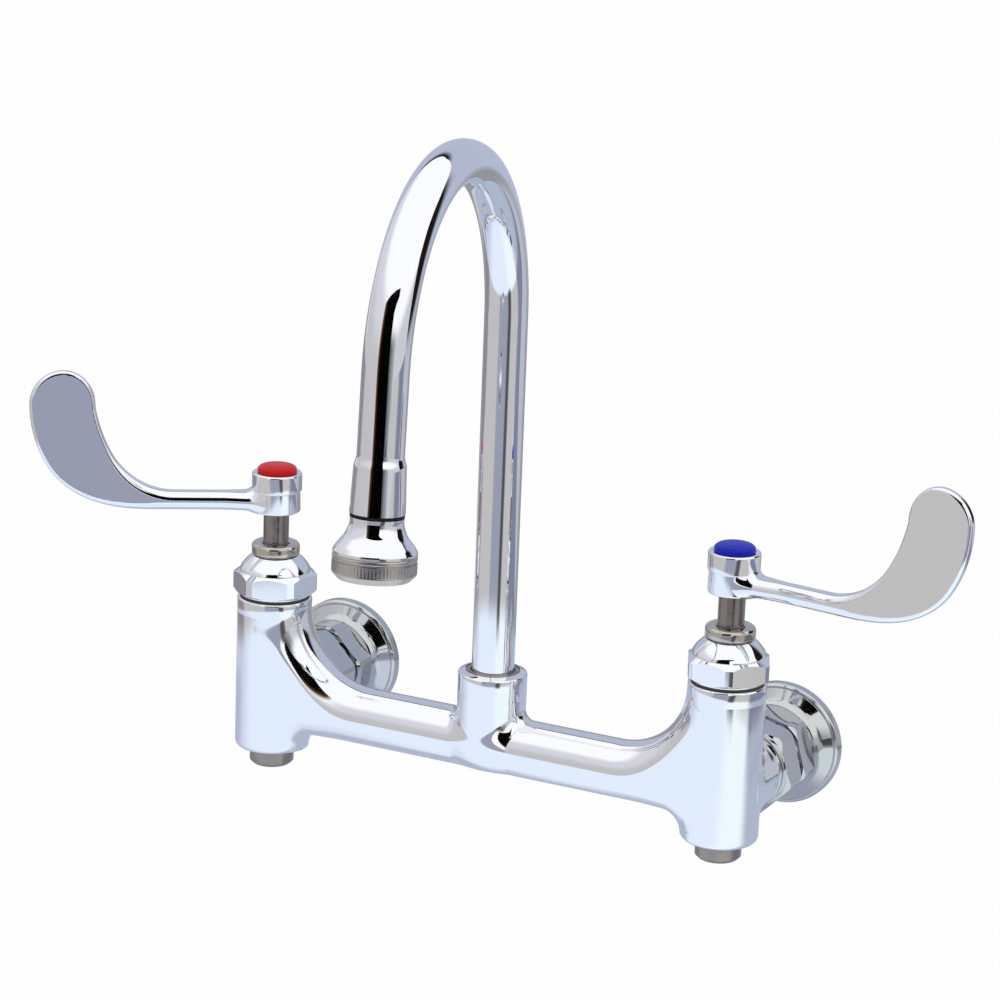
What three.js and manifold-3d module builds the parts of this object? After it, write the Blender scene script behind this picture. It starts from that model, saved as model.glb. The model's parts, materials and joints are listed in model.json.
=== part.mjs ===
// Wall faucet: two quarter-turn valves with wrist levers, joined by a bar that carries
// a swivelling gooseneck with a spray rose. Each valve has a screwdriver stop below it
// and a union nut and wall flange behind it.
//
// Millimetres. +X towards the cold side, +Y into the wall, +Z up.
// The origin is on the wall, midway between the two inlets and level with them.

import * as THREE from 'three';
import { mergeVertices } from 'three/addons/utils/BufferGeometryUtils.js';
import Module from 'manifold-3d';

const wasm = await Module();
wasm.setup();

// Clearances
const restGap = 0.1; // between two pieces that rest on each other
const fitGap = 0.25; // round a piece that is screwed or pressed into a bore
const runGap = 0.3; // round a piece that turns or slides

// Sides of the round pieces
const shownSides = 20;
const innerSides = 12;
const tubeSides = 16;

// Whole faucet
const inletCentres = 203.2;
const wallToAxis = 63.5;

// Body casting
const body = {
  barrelRadius: 15.4,
  barrelTop: 43.3,
  barrelBottom: -21.75,
  barrelBottomRound: 2.5,
  barRadius: 11.7,
  barDrop: 1.2, // bar axis below the inlet axis
  barFlareAbove: 30, // radius of the sweep from the bar up to the barrel
  barFlareBelow: 8,
  passageStart: 24, // from the barrel's axis to the end of the bar's level passage
  barBore: 6.2,
  bossRadius: 13.9,
  bossTop: 28.6,
  bossConeRise: 1.6,
  bossBevel: 0.8,
  armRadius: 16,
  armEnd: 40.3, // end of the inlet arm, from the wall
  armBevel: 0.9,
  armFlare: 5.8,
  riseBore: 4.6, // sloping passage from the upper chamber down to the bar
};

// Valve, heights above the inlet axis
const valve = {
  threadBore: 12.4,
  chamberBore: 10.6,
  webTop: 10,
  webBottom: 5.4,
  chamberTop: 30,
  travel: 3, // lift of the plunger over a quarter turn
  closedGap: 0.15,
};
const seat = { portRadius: 3.8, bodyRadius: 5.8, flangeRadius: 7.8, flangeHeight: 1.8 };
const seatWasher = { radius: 5.6, height: 1.8 };
const plunger = { height: 8.5 };
const sleeve = {
  hexBore: 12.4, // across flats, which keeps the plunger from turning
  footRadius: 8.8,
  footHeight: 12,
  portHeight: 5.5,
  portWidth: 5,
  portSill: 1.4,
  flangeHeight: 2.4,
};
const gasket = { height: 0.8, bore: 12.7, radius: 14.9 };
const bonnet = {
  hexFlats: 29.8,
  hexHeight: 10.2,
  domeHeight: 6.3,
  domeFullness: 0.4, // 0 is a cone and 1 a quarter oval
  domeBase: 14.8,
  domeNeck: 9.6,
  neckRadius: 7.9,
  neckHeight: 3.2,
  chamberBore: 9.2,
  packingBore: 7,
  packingHeight: 6.2,
};
const packing = { height: 4.6 };
const packingNut = { radius: 9.9, height: 5.2, bevel: 2.2, roof: 1.5 };
const stem = {
  radius: 5.24,
  collarRadius: 8.4,
  collarHeight: 3,
  threadRadius: 2.9,
  driveRadius: 4.4,
  driveHeight: 7.4,
  tapRadius: 2.1,
  tapDepth: 8,
};

// Lever, heights from the underside of its hub
const lever = {
  hubBottom: 79.3,
  hubRadius: 9.75,
  hubHeight: 16.6,
  collarRadius: 10.25,
  collarHeight: 7.8,
  edgeBevel: 0.9,
  reach: 100.5, // stem axis to the outermost point of the blade
  armCentre: 4.5,
  armHeight: 7.7,
  armThickness: 9,
  armLength: 42,
  bladeTop: 58,
  bladeWidth: 28.2,
  bladeThickness: 4,
};
const index = { radius: 8, seatDepth: 3, height: 6.1, dome: 1.3 };
const screw = { headRadius: 3.8, headHeight: 2.6, shankRadius: 1.8, slotWidth: 1, slotDepth: 1.1 };

// How each side stands in its rest place, degrees
const sides = [
  { side: 'hot', sign: -1, colour: 'red', turn: 33, bonnetTurn: 22, unionTurn: -15 },
  { side: 'cold', sign: 1, colour: 'blue', turn: 8, bonnetTurn: -3, unionTurn: 16 },
];

// Screwdriver stop, depths below the inlet axis
const stop = {
  chamberBore: 8.2,
  spigotHeight: 8,
  capRadius: 9.2,
  capHeight: 7.5,
  capBevel: 1.3,
  recessRadius: 5.6,
  recessDepth: 3,
  spindleRadius: 3,
  spindleCollarRadius: 4.8,
  spindleCollarHeight: 1.6,
  spindleThreadRadius: 2,
  spindleThreadHeight: 8.6,
  headHeight: 1.8,
  slotWidth: 1.2,
  slotDepth: 1.2,
  plungerFlats: 13.2,
  washerHeight: 1.6,
  travel: 6.35, // five turns of a 1.27 mm thread
};
const ringSeal = { radius: 0.6, squeeze: 0.06 };

// Inlet union, distances from the wall
const inlet = {
  bore: 5,
  hexFlats: 34.9,
  nutFront: 39.8,
  nutBack: 26.4,
  nutBevel: 1.6,
  nutLip: 2.6,
  nutBore: 13.3,
  tailNeck: 10.6,
  tailCollar: 12.5,
  tailCollarHeight: 2.4,
  tailThread: 9.8,
  tailThreadHeight: 10,
  tailBore: 6.4,
  washerHeight: 1.8,
  washerBore: 8,
  flangeHexFront: 25.6,
  flangeHexBack: 14.4,
  flangeHexBevel: 1.1,
  flangeRadius: 25.2,
  flangeRim: 3,
  socketBore: 10.2,
  socketDepth: 15,
};

// Gooseneck
const spout = {
  tubeRadius: 8.6,
  tubeBore: 7.2,
  spread: 141.3, // riser axis to the end of the bend
  archTop: 254.1,
  bend: 174.9,
  swivel: 9.24, // degrees from straight out of the wall, towards the cold side
  seamHeight: 131.5,
  swageRadius: 10.1,
  swageLength: 19,
  swageBlend: 8,
  swageBore: 8.9,
  footHeight: 10.4,
};
const swivel = { radius: 10.6, height: 13.6, grooveDepth: 1, grooveWidth: 1.6 };
const bossBore = 11.1;
const bossFloor = 9.6;

// Spray rose, lengths down from the seam
const rose = {
  gasketHeight: 1.1,
  neckRadius: 10,
  neckLength: 3,
  flareLength: 9,
  bellRadius: 15.5,
  bellLength: 14,
  wall: 1.5,
  spigotRadius: 8.5,
  spigotLength: 7,
  spigotBore: 6,
  skirtLength: 4.2,
  sealHeight: 0.8,
  ringRadius: 15.6,
  ringBottom: 23.2,
  ringBevelStart: 20,
  ringMouth: 13.2,
  faceThickness: 1.6,
  holeRadius: 0.7,
};

// Colours and finishes
const finishes = {
  chrome: { color: 0xd8dae0, metalness: 1, roughness: 0.08 },
  brushed: { color: 0xa9a49d, metalness: 1, roughness: 0.4 },
  nickel: { color: 0x8d8681, metalness: 1, roughness: 0.28 },
  brass: { color: 0xb99a55, metalness: 1, roughness: 0.35 },
  rubber: { color: 0x161616, metalness: 0, roughness: 0.8 },
  fibre: { color: 0x8a7660, metalness: 0, roughness: 0.85 },
  red: { color: 0xd02022, metalness: 0, roughness: 0.35 },
  blue: { color: 0x1f35c8, metalness: 0, roughness: 0.35 },
};

// ---- Shapes ----

function toSolid(geometry) {
  const bare = geometry.clone();
  bare.deleteAttribute('normal');
  bare.deleteAttribute('uv');
  const merged = mergeVertices(bare, 1e-4);
  const corners = [];
  for (let i = 0; i < merged.index.count; i += 3) {
    const [a, b, c] = [0, 1, 2].map((step) => merged.index.getX(i + step));
    if (a !== b && b !== c && c !== a) corners.push(a, b, c);
  }
  return new wasm.Manifold(new wasm.Mesh({
    numProp: 3,
    vertProperties: new Float32Array(merged.attributes.position.array),
    triVerts: new Uint32Array(corners),
  }));
}

function toGeometry(solid) {
  const mesh = solid.getMesh();
  const geometry = new THREE.BufferGeometry();
  geometry.setAttribute('position', new THREE.BufferAttribute(mesh.vertProperties, 3));
  geometry.setIndex(new THREE.BufferAttribute(mesh.triVerts, 1));
  return geometry;
}

function join(first, ...others) {
  return toGeometry(others.reduce((sum, next) => sum.add(toSolid(next)), toSolid(first)));
}

function cut(first, ...tools) {
  return toGeometry(tools.reduce((rest, tool) => rest.subtract(toSolid(tool)), toSolid(first)));
}

function common(first, second) {
  return toGeometry(toSolid(first).intersect(toSolid(second)));
}

// A turned solid round Z from [radius, height] points that run upwards along its outside.
function turned(points, sides) {
  const profile = points.map(([radius, height]) => new THREE.Vector2(radius, height));
  const geometry = new THREE.LatheGeometry(profile, sides);
  geometry.rotateX(Math.PI / 2);
  return geometry;
}

function rod(radius, bottom, top, sides) {
  return turned([[0, bottom], [radius, bottom], [radius, top], [0, top]], sides);
}

function ring(bore, radius, bottom, top, sides) {
  return turned([[bore, bottom], [radius, bottom], [radius, top], [bore, top], [bore, bottom]], sides);
}

function sealRing(middle, height, section, sides) {
  const points = [];
  const steps = 5;
  for (let i = 0; i <= steps; i += 1) {
    const angle = (i / steps) * 2 * Math.PI;
    points.push([middle + section * Math.cos(angle), height + section * Math.sin(angle)]);
  }
  return turned(points, sides);
}

function slab(width, depth, height) {
  return new THREE.BoxGeometry(width, depth, height);
}

// A hexagonal bar round Z with its corners turned off by a cone at each end.
function hexBar(flats, bottom, top, bevelBottom, bevelTop) {
  const corner = flats / Math.sqrt(3);
  const outline = new THREE.Shape();
  for (let i = 0; i < 6; i += 1) {
    const angle = (i * Math.PI) / 3;
    const step = i === 0 ? 'moveTo' : 'lineTo';
    outline[step](corner * Math.cos(angle), corner * Math.sin(angle));
  }
  const prism = new THREE.ExtrudeGeometry(outline, { depth: top - bottom, bevelEnabled: false });
  prism.translate(0, 0, bottom);
  const over = corner + 1;
  const slope = 0.6;
  const cone = [
    [0, bottom],
    [corner - bevelBottom, bottom],
    [over, bottom + (over - corner + bevelBottom) * slope],
    [over, top - (over - corner + bevelTop) * slope],
    [corner - bevelTop, top],
    [0, top],
  ];
  return common(prism, turned(cone, shownSides));
}

// Skins a row of closed sections, each a list of points, and closes both ends.
function skinned(sections) {
  const count = sections[0].length;
  const points = sections.flat();
  const corners = [];
  for (let row = 0; row < sections.length - 1; row += 1) {
    for (let i = 0; i < count; i += 1) {
      const next = (i + 1) % count;
      const [a, b] = [row * count + i, row * count + next];
      corners.push(a, b, b + count, a, b + count, a + count);
    }
  }
  const last = (sections.length - 1) * count;
  for (let i = 1; i < count - 1; i += 1) {
    corners.push(0, i + 1, i);
    corners.push(last, last + i, last + i + 1);
  }
  const geometry = new THREE.BufferGeometry().setFromPoints(points);
  geometry.setIndex(corners);
  return geometry;
}

// A quarter sweep from a level line to an upright one: the rise at a distance from its start.
function sweepRise(distance, radius) {
  const along = Math.min(Math.max(distance, 0), radius);
  return radius - Math.sqrt(radius * radius - along * along);
}

function mesh(name, geometry, finish) {
  const solid = toGeometry(toSolid(geometry));
  solid.computeVertexNormals();
  const material = new THREE.MeshStandardMaterial({ ...finishes[finish], flatShading: true });
  material.name = name;
  const piece = new THREE.Mesh(solid, material);
  piece.name = name;
  return piece;
}

// ---- Body casting ----

// Half ovals above and below a level line, in the plane across the direction of the branch.
function branchSection(place, halfWidth, above, below) {
  const points = [];
  for (let i = 0; i < tubeSides; i += 1) {
    const angle = (i / tubeSides) * 2 * Math.PI;
    const rise = Math.sin(angle) * (angle < Math.PI ? above : below);
    points.push(new THREE.Vector3(place, halfWidth * Math.cos(angle), rise));
  }
  return points;
}

// A round branch that flares into an upright barrel, along +X from `start` to the barrel's axis.
function flaredBranch(start, barrelAxis, radius, flareAbove, flareBelow, bevel) {
  const wall = barrelAxis - body.barrelRadius;
  const steps = 5;
  const places = bevel > 0 ? [start, start + bevel] : [start];
  for (let i = 0; i <= steps; i += 1) {
    const along = Math.sin((i / steps) * (Math.PI / 2));
    places.push(wall - flareAbove + flareAbove * along);
  }
  places.push(barrelAxis);
  const widest = body.barrelRadius - restGap;
  return skinned(places.map((place) => {
    const above = radius + sweepRise(place - (wall - flareAbove), flareAbove);
    const below = radius + sweepRise(place - (wall - flareBelow), flareBelow);
    const widen = Math.min(Math.max((place - (wall - flareBelow)) / (barrelAxis - wall + flareBelow), 0), 1);
    const turnedOff = place === start ? bevel : 0;
    const halfWidth = radius + (widest - radius) * widen;
    return branchSection(place, halfWidth - turnedOff, above - turnedOff, below - turnedOff);
  }));
}

function sideCasting() {
  const barrel = turned([
    [0, body.barrelBottom],
    [body.barrelRadius - body.barrelBottomRound, body.barrelBottom],
    [body.barrelRadius - body.barrelBottomRound * 0.3, body.barrelBottom + body.barrelBottomRound * 0.3],
    [body.barrelRadius, body.barrelBottom + body.barrelBottomRound],
    [body.barrelRadius, body.barrelTop],
    [0, body.barrelTop],
  ], shownSides);
  const halfBar = flaredBranch(-1, inletCentres / 2, body.barRadius, body.barFlareAbove, body.barFlareBelow, 0);
  halfBar.translate(-inletCentres / 2, 0, -body.barDrop);
  const armLength = wallToAxis - body.armEnd;
  const arm = flaredBranch(0, armLength, body.armRadius, body.armFlare, body.armFlare - 1, body.armBevel);
  arm.rotateZ(-Math.PI / 2);
  arm.translate(0, armLength, 0);
  return join(barrel, halfBar, arm);
}

function sidePassages() {
  const past = 5;
  const thread = rod(valve.threadBore, valve.chamberTop, body.barrelTop + past, shownSides);
  const upper = rod(valve.chamberBore, valve.webTop, valve.chamberTop + 1, innerSides);
  const port = rod(seat.bodyRadius + fitGap, valve.webBottom - 1, valve.webTop + 1, innerSides);
  const lower = rod(stop.chamberBore, body.barrelBottom - past, valve.webBottom, shownSides);
  const feedEnd = wallToAxis - body.armEnd;
  const feed = rod(inlet.bore, stop.chamberBore - 2, feedEnd - inlet.tailThreadHeight + 1, innerSides);
  const tail = rod(inlet.tailThread + fitGap, feedEnd - inlet.tailThreadHeight, feedEnd + past, innerSides);
  for (const bore of [feed, tail]) bore.rotateX(-Math.PI / 2);
  const low = new THREE.Vector3(-body.passageStart, 0, -body.barDrop);
  const high = new THREE.Vector3(-valve.chamberBore + 2, 0, valve.webTop + body.riseBore + 4);
  const slope = new THREE.Vector3().subVectors(high, low);
  const rise = rod(body.riseBore, -body.riseBore, slope.length(), innerSides);
  const turn = new THREE.Quaternion().setFromUnitVectors(new THREE.Vector3(0, 0, 1), slope.normalize());
  rise.applyQuaternion(turn);
  rise.translate(low.x, low.y, low.z);
  return [thread, upper, port, lower, feed, tail, rise];
}

function bodyCasting() {
  const boss = turned([
    [0, -body.bossRadius * 0.75],
    [body.bossRadius * 0.62, -body.bossRadius * 0.6],
    [body.bossRadius * 0.9, -body.bossRadius * 0.35],
    [body.bossRadius, 0],
    [body.bossRadius, body.bossTop - body.bossBevel],
    [body.bossRadius - body.bossBevel, body.bossTop],
    [bossBore - 1, coneHeight(bossBore - 1)],
    [0, coneHeight(bossBore - 1)],
  ], shownSides);
  const cold = sideCasting();
  cold.translate(inletCentres / 2, 0, 0);
  const hot = sideCasting();
  hot.scale(-1, 1, 1);
  hot.translate(-inletCentres / 2, 0, 0);
  const flipped = flip(hot);
  let casting = join(cold, flipped, boss);
  for (const side of [1, -1]) {
    for (const tool of sidePassages()) {
      if (side < 0) tool.scale(-1, 1, 1);
      tool.translate((side * inletCentres) / 2, 0, 0);
      casting = cut(casting, side < 0 ? flip(tool) : tool);
    }
  }
  const crossReach = inletCentres / 2 - body.passageStart;
  const cross = rod(body.barBore, -crossReach, crossReach, innerSides);
  cross.rotateY(Math.PI / 2);
  cross.translate(0, 0, -body.barDrop);
  const drop = rod(body.barBore, -body.barDrop, bossFloor + 1, innerSides);
  const socket = rod(bossBore, bossFloor, body.bossTop + body.bossConeRise + 1, shownSides);
  casting = cut(casting, cross, drop, socket);
  casting.translate(0, -wallToAxis, 0);
  return casting;
}

// Turns the faces of a mirrored shape outwards again.
function flip(geometry) {
  const corners = geometry.index.array;
  for (let i = 0; i < corners.length; i += 3) {
    [corners[i], corners[i + 1]] = [corners[i + 1], corners[i]];
  }
  return geometry;
}

// ---- Lever ----

function smooth(share) {
  const t = Math.min(Math.max(share, 0), 1);
  return t * t * (3 - 2 * t);
}

// A rounded rectangle across the lever: `across` is in the plane of the blade.
function leverSection(place, across, halfWidth, halfThickness) {
  const round = Math.min(2.4, halfThickness * 0.85, halfWidth * 0.85);
  const points = [];
  for (let corner = 0; corner < 4; corner += 1) {
    for (let step = 0; step < 3; step += 1) {
      const angle = ((corner + step / 2) * Math.PI) / 2;
      const left = corner === 1 || corner === 2 ? -1 : 1;
      const down = corner >= 2 ? -1 : 1;
      const wide = left * (halfWidth - round) + round * Math.cos(angle);
      const thick = down * (halfThickness - round) + round * Math.sin(angle);
      points.push(new THREE.Vector3(place.x - across.y * wide, -thick, place.y + across.x * wide));
    }
  }
  return points;
}

// The arm runs level from the hub, then the blade sweeps up a quarter oval to a round end.
function leverArm() {
  const bladeMiddle = lever.reach - lever.bladeWidth / 2;
  const sweepWidth = bladeMiddle - lever.armLength;
  const endHeight = lever.bladeWidth / 2;
  const endStart = lever.bladeTop - endHeight;
  const sweepHeight = endStart - lever.armCentre;
  const armHalf = lever.armThickness / 2;
  const bladeHalf = lever.bladeThickness / 2;
  const sections = [];
  const level = new THREE.Vector2(1, 0);
  for (const share of [0.08, 0.24, 0.4, 0.58, 0.98]) {
    const place = new THREE.Vector2(lever.armLength * share, lever.armCentre);
    const root = (lever.hubRadius * 0.82 - armHalf) * (1 - smooth((share - 0.1) / 0.45));
    sections.push(leverSection(place, level, lever.armHeight / 2, armHalf + root));
  }
  const steps = 8;
  for (let i = 1; i <= steps; i += 1) {
    const angle = ((i / steps) * Math.PI) / 2;
    const place = new THREE.Vector2(
      lever.armLength + sweepWidth * Math.sin(angle),
      lever.armCentre + sweepHeight * (1 - Math.cos(angle)),
    );
    const along = new THREE.Vector2(sweepWidth * Math.cos(angle), sweepHeight * Math.sin(angle)).normalize();
    const widen = smooth(angle / THREE.MathUtils.degToRad(62));
    const thin = smooth(angle / THREE.MathUtils.degToRad(60));
    const halfWidth = THREE.MathUtils.lerp(lever.armHeight, lever.bladeWidth, widen) / 2;
    sections.push(leverSection(place, along, halfWidth, THREE.MathUtils.lerp(armHalf, bladeHalf, thin)));
  }
  const upright = new THREE.Vector2(0, 1);
  for (const turn of [14, 36, 56, 72, 82]) {
    const angle = THREE.MathUtils.degToRad(turn);
    const place = new THREE.Vector2(bladeMiddle, endStart + endHeight * Math.sin(angle));
    const halfWidth = (lever.bladeWidth / 2) * Math.cos(angle);
    sections.push(leverSection(place, upright, halfWidth, bladeHalf));
  }
  return skinned(sections);
}

function wristLever() {
  const step = lever.hubHeight - lever.collarHeight;
  const hub = turned([
    [0, 0],
    [lever.hubRadius - lever.edgeBevel, 0],
    [lever.hubRadius, lever.edgeBevel],
    [lever.hubRadius, step],
    [lever.collarRadius, step + 0.4],
    [lever.collarRadius, lever.hubHeight - lever.edgeBevel],
    [lever.collarRadius - lever.edgeBevel, lever.hubHeight],
    [0, lever.hubHeight],
  ], shownSides);
  const drive = rod(stem.driveRadius + fitGap, -1, stem.driveHeight + restGap, innerSides);
  const hole = rod(screw.shankRadius + fitGap, 0, lever.hubHeight, innerSides);
  const recessFloor = lever.hubHeight - index.seatDepth;
  const headSeat = recessFloor - screw.headHeight - restGap;
  const head = rod(screw.headRadius + fitGap, headSeat, lever.hubHeight, innerSides);
  const recess = rod(index.radius + fitGap, recessFloor, lever.hubHeight + 1, shownSides);
  return cut(join(hub, leverArm()), drive, hole, head, recess);
}

function leverScrew() {
  const top = lever.hubHeight - index.seatDepth - restGap;
  const head = top - screw.headHeight;
  const shape = turned([
    [0, stem.driveHeight - stem.tapDepth + 1],
    [screw.shankRadius, stem.driveHeight - stem.tapDepth + 1],
    [screw.shankRadius, head],
    [screw.headRadius, head],
    [screw.headRadius, top],
    [0, top],
  ], innerSides);
  const slot = slab(screw.headRadius * 3, screw.slotWidth, screw.slotDepth * 2);
  slot.translate(0, 0, top);
  return cut(shape, slot);
}

function indexButton() {
  const floor = lever.hubHeight - index.seatDepth + restGap;
  const top = floor + index.height;
  return turned([
    [0, floor],
    [index.radius, floor],
    [index.radius, top - index.dome * 1.4],
    [index.radius * 0.93, top - index.dome * 0.7],
    [index.radius * 0.7, top - index.dome * 0.2],
    [0, top],
  ], shownSides);
}

// ---- Valve ----

const seatTop = valve.webTop + restGap + seat.flangeHeight;
const sleeveBottom = seatTop + restGap;
const sleeveFlange = valve.chamberTop + restGap;
const spigotBottom = sleeveFlange + sleeve.flangeHeight + restGap;
const collarBottom = spigotBottom + runGap;
const hexBottom = body.barrelTop + gasket.height + 2 * restGap;
const hexTop = hexBottom + bonnet.hexHeight;
const domeTop = hexTop + bonnet.domeHeight;
const neckTop = domeTop + bonnet.neckHeight;
const packingFloor = neckTop - bonnet.packingHeight;

function stemPiece() {
  const foot = seatTop + seatWasher.height + valve.travel + 2;
  const collarTop = collarBottom + stem.collarHeight;
  const hubRest = lever.hubBottom - restGap;
  const top = hubRest + stem.driveHeight;
  const shaft = turned([
    [0, foot],
    [stem.threadRadius, foot],
    [stem.threadRadius, collarBottom],
    [stem.collarRadius, collarBottom],
    [stem.collarRadius, collarTop],
    [stem.radius, collarTop],
    [stem.radius, hubRest],
    [stem.driveRadius, hubRest],
    [stem.driveRadius, top],
    [0, top],
  ], innerSides);
  return cut(shaft, rod(stem.tapRadius, top - stem.tapDepth, top + 1, innerSides));
}

function packingNutPiece() {
  const bottom = domeTop + restGap;
  const top = bottom + packingNut.height;
  const roof = top - packingNut.roof;
  const gland = packingFloor + 2 * restGap + packing.height;
  return turned([
    [bonnet.neckRadius + fitGap, bottom],
    [packingNut.radius - 0.4, bottom],
    [packingNut.radius, bottom + 0.5],
    [packingNut.radius, top - packingNut.bevel],
    [packingNut.radius - packingNut.bevel * 1.2, top],
    [stem.radius + runGap, top],
    [stem.radius + runGap, gland],
    [bonnet.packingBore - 2 * fitGap, gland],
    [bonnet.packingBore - 2 * fitGap, roof],
    [bonnet.neckRadius + fitGap, roof],
    [bonnet.neckRadius + fitGap, bottom],
  ], shownSides);
}

function bonnetPiece(hexTurn) {
  const hex = hexBar(bonnet.hexFlats, hexBottom, hexTop, 0.9, 1.6);
  hex.rotateZ(THREE.MathUtils.degToRad(hexTurn));
  const dome = [];
  const steps = 4;
  for (let i = 0; i <= steps; i += 1) {
    const angle = ((i / steps) * Math.PI) / 2;
    const rise = THREE.MathUtils.lerp(1 - Math.cos(angle), Math.sin(angle), bonnet.domeFullness);
    dome.push([
      bonnet.domeNeck + (bonnet.domeBase - bonnet.domeNeck) * Math.cos(angle),
      hexTop + bonnet.domeHeight * rise,
    ]);
  }
  const core = turned([
    [0, spigotBottom],
    [valve.threadBore - fitGap, spigotBottom],
    [valve.threadBore - fitGap, hexBottom],
    [bonnet.domeBase - 0.6, hexBottom],
    [bonnet.domeBase, hexBottom + 0.5],
    ...dome,
    [bonnet.neckRadius, domeTop],
    [bonnet.neckRadius, neckTop],
    [0, neckTop],
  ], shownSides);
  const collarRoom = rod(bonnet.chamberBore, spigotBottom - 1, collarBottom + stem.collarHeight + runGap, innerSides);
  const bore = rod(stem.radius + runGap, spigotBottom, neckTop + 1, innerSides);
  const packingRoom = rod(bonnet.packingBore, packingFloor, neckTop + 1, innerSides);
  return cut(join(hex, core), collarRoom, bore, packingRoom);
}

function sleevePiece() {
  const bore = sleeve.hexBore / 2;
  const outside = turned([
    [0, sleeveBottom],
    [sleeve.footRadius, sleeveBottom],
    [sleeve.footRadius, sleeveBottom + sleeve.footHeight],
    [valve.chamberBore - fitGap, sleeveBottom + sleeve.footHeight],
    [valve.chamberBore - fitGap, sleeveFlange],
    [valve.threadBore - fitGap, sleeveFlange],
    [valve.threadBore - fitGap, sleeveFlange + sleeve.flangeHeight],
    [0, sleeveFlange + sleeve.flangeHeight],
  ], innerSides);
  const port = slab(4 * bore, sleeve.portWidth, sleeve.portHeight);
  port.translate(0, 0, sleeveBottom + sleeve.portSill + sleeve.portHeight / 2);
  const crossPort = port.clone().rotateZ(Math.PI / 2);
  const hexBore = hexBar(sleeve.hexBore, sleeveBottom - 1, spigotBottom + 1, 0, 0);
  return cut(outside, hexBore, port, crossPort);
}

function plungerPiece(lift) {
  const bottom = seatTop + valve.closedGap + seatWasher.height + restGap + lift;
  const hex = hexBar(sleeve.hexBore - 2 * runGap, bottom, bottom + plunger.height, 0.4, 0.4);
  return cut(hex, rod(stem.threadRadius + runGap, bottom - 1, bottom + plunger.height + 1, innerSides));
}

// The pieces of one valve, top to bottom, round its own axis.
function valveGroup({ side, turn, colour, bonnetTurn }) {
  const group = new THREE.Group();
  const lift = (valve.travel * turn) / 90;
  const washerBottom = seatTop + valve.closedGap + lift;
  const packingBottom = packingFloor + restGap;
  const gasketBottom = body.barrelTop + restGap;
  const seatFoot = valve.webBottom + restGap;
  const seatShape = turned([
    [seat.portRadius, seatFoot],
    [seat.bodyRadius, seatFoot],
    [seat.bodyRadius, valve.webTop + restGap],
    [seat.flangeRadius, valve.webTop + restGap],
    [seat.flangeRadius, seatTop],
    [seat.portRadius, seatTop],
    [seat.portRadius, seatFoot],
  ], innerSides);
  group.add(
    mesh(`${side}_stem`, stemPiece(), 'nickel'),
    mesh(`${side}_packing_nut`, packingNutPiece(), 'nickel'),
    mesh(`${side}_stem_packing`, ring(
      stem.radius + runGap,
      bonnet.packingBore - fitGap,
      packingBottom,
      packingBottom + packing.height,
      innerSides,
    ), 'fibre'),
    mesh(`${side}_bonnet`, bonnetPiece(bonnetTurn), 'chrome'),
    mesh(`${side}_bonnet_gasket`, ring(
      gasket.bore,
      gasket.radius,
      gasketBottom,
      gasketBottom + gasket.height,
      shownSides,
    ), 'fibre'),
    mesh(`${side}_cartridge_sleeve`, sleevePiece(), 'brass'),
    mesh(`${side}_valve_plunger`, plungerPiece(lift), 'brass'),
    mesh(`${side}_seat_washer`, rod(
      seatWasher.radius,
      washerBottom,
      washerBottom + seatWasher.height,
      innerSides,
    ), 'rubber'),
    mesh(`${side}_valve_seat`, seatShape, 'brass'),
  );
  const handle = new THREE.Group();
  handle.position.z = lever.hubBottom;
  handle.rotation.z = side === 'hot' ? Math.PI + THREE.MathUtils.degToRad(turn) : -THREE.MathUtils.degToRad(turn);
  handle.add(
    mesh(`${side}_wrist_lever`, wristLever(), 'chrome'),
    mesh(`${side}_lever_screw`, leverScrew(), 'nickel'),
    mesh(`${side}_index_button`, indexButton(), colour),
  );
  group.add(handle);
  return group;
}

// ---- Screwdriver stop ----

const capTop = body.barrelBottom - restGap;
const capBottom = capTop - stop.capHeight;
const stopSpigotTop = capTop + stop.spigotHeight;
const spindleCollarTop = stopSpigotTop + restGap + stop.spindleCollarHeight;
const stopSealHeight = capTop + stop.spigotHeight / 2;

function stopCap() {
  const bore = stop.spindleRadius + runGap;
  const groove = stop.spindleRadius + 2 * ringSeal.radius + 3 * ringSeal.squeeze;
  const halfGroove = ringSeal.radius + ringSeal.squeeze;
  return turned([
    [stop.recessRadius, capBottom],
    [stop.capRadius - stop.capBevel, capBottom],
    [stop.capRadius, capBottom + stop.capBevel],
    [stop.capRadius, capTop],
    [stop.chamberBore - fitGap, capTop],
    [stop.chamberBore - fitGap, stopSpigotTop],
    [bore, stopSpigotTop],
    [bore, stopSealHeight + halfGroove],
    [groove, stopSealHeight + halfGroove],
    [groove, stopSealHeight - halfGroove],
    [bore, stopSealHeight - halfGroove],
    [bore, capBottom + stop.recessDepth],
    [stop.recessRadius, capBottom + stop.recessDepth],
    [stop.recessRadius, capBottom],
  ], shownSides);
}

function stopSpindle() {
  const bottom = capBottom + stop.recessDepth - stop.headHeight;
  const collarBottomHere = stopSpigotTop + restGap;
  const top = spindleCollarTop + stop.spindleThreadHeight;
  const shape = turned([
    [0, bottom],
    [stop.spindleRadius, bottom],
    [stop.spindleRadius, collarBottomHere],
    [stop.spindleCollarRadius, collarBottomHere],
    [stop.spindleCollarRadius, spindleCollarTop],
    [stop.spindleThreadRadius, spindleCollarTop],
    [stop.spindleThreadRadius, top],
    [0, top],
  ], innerSides);
  const slot = slab(stop.spindleRadius * 3, stop.slotWidth, stop.slotDepth * 2);
  slot.translate(0, 0, bottom);
  return cut(shape, slot);
}

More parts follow.
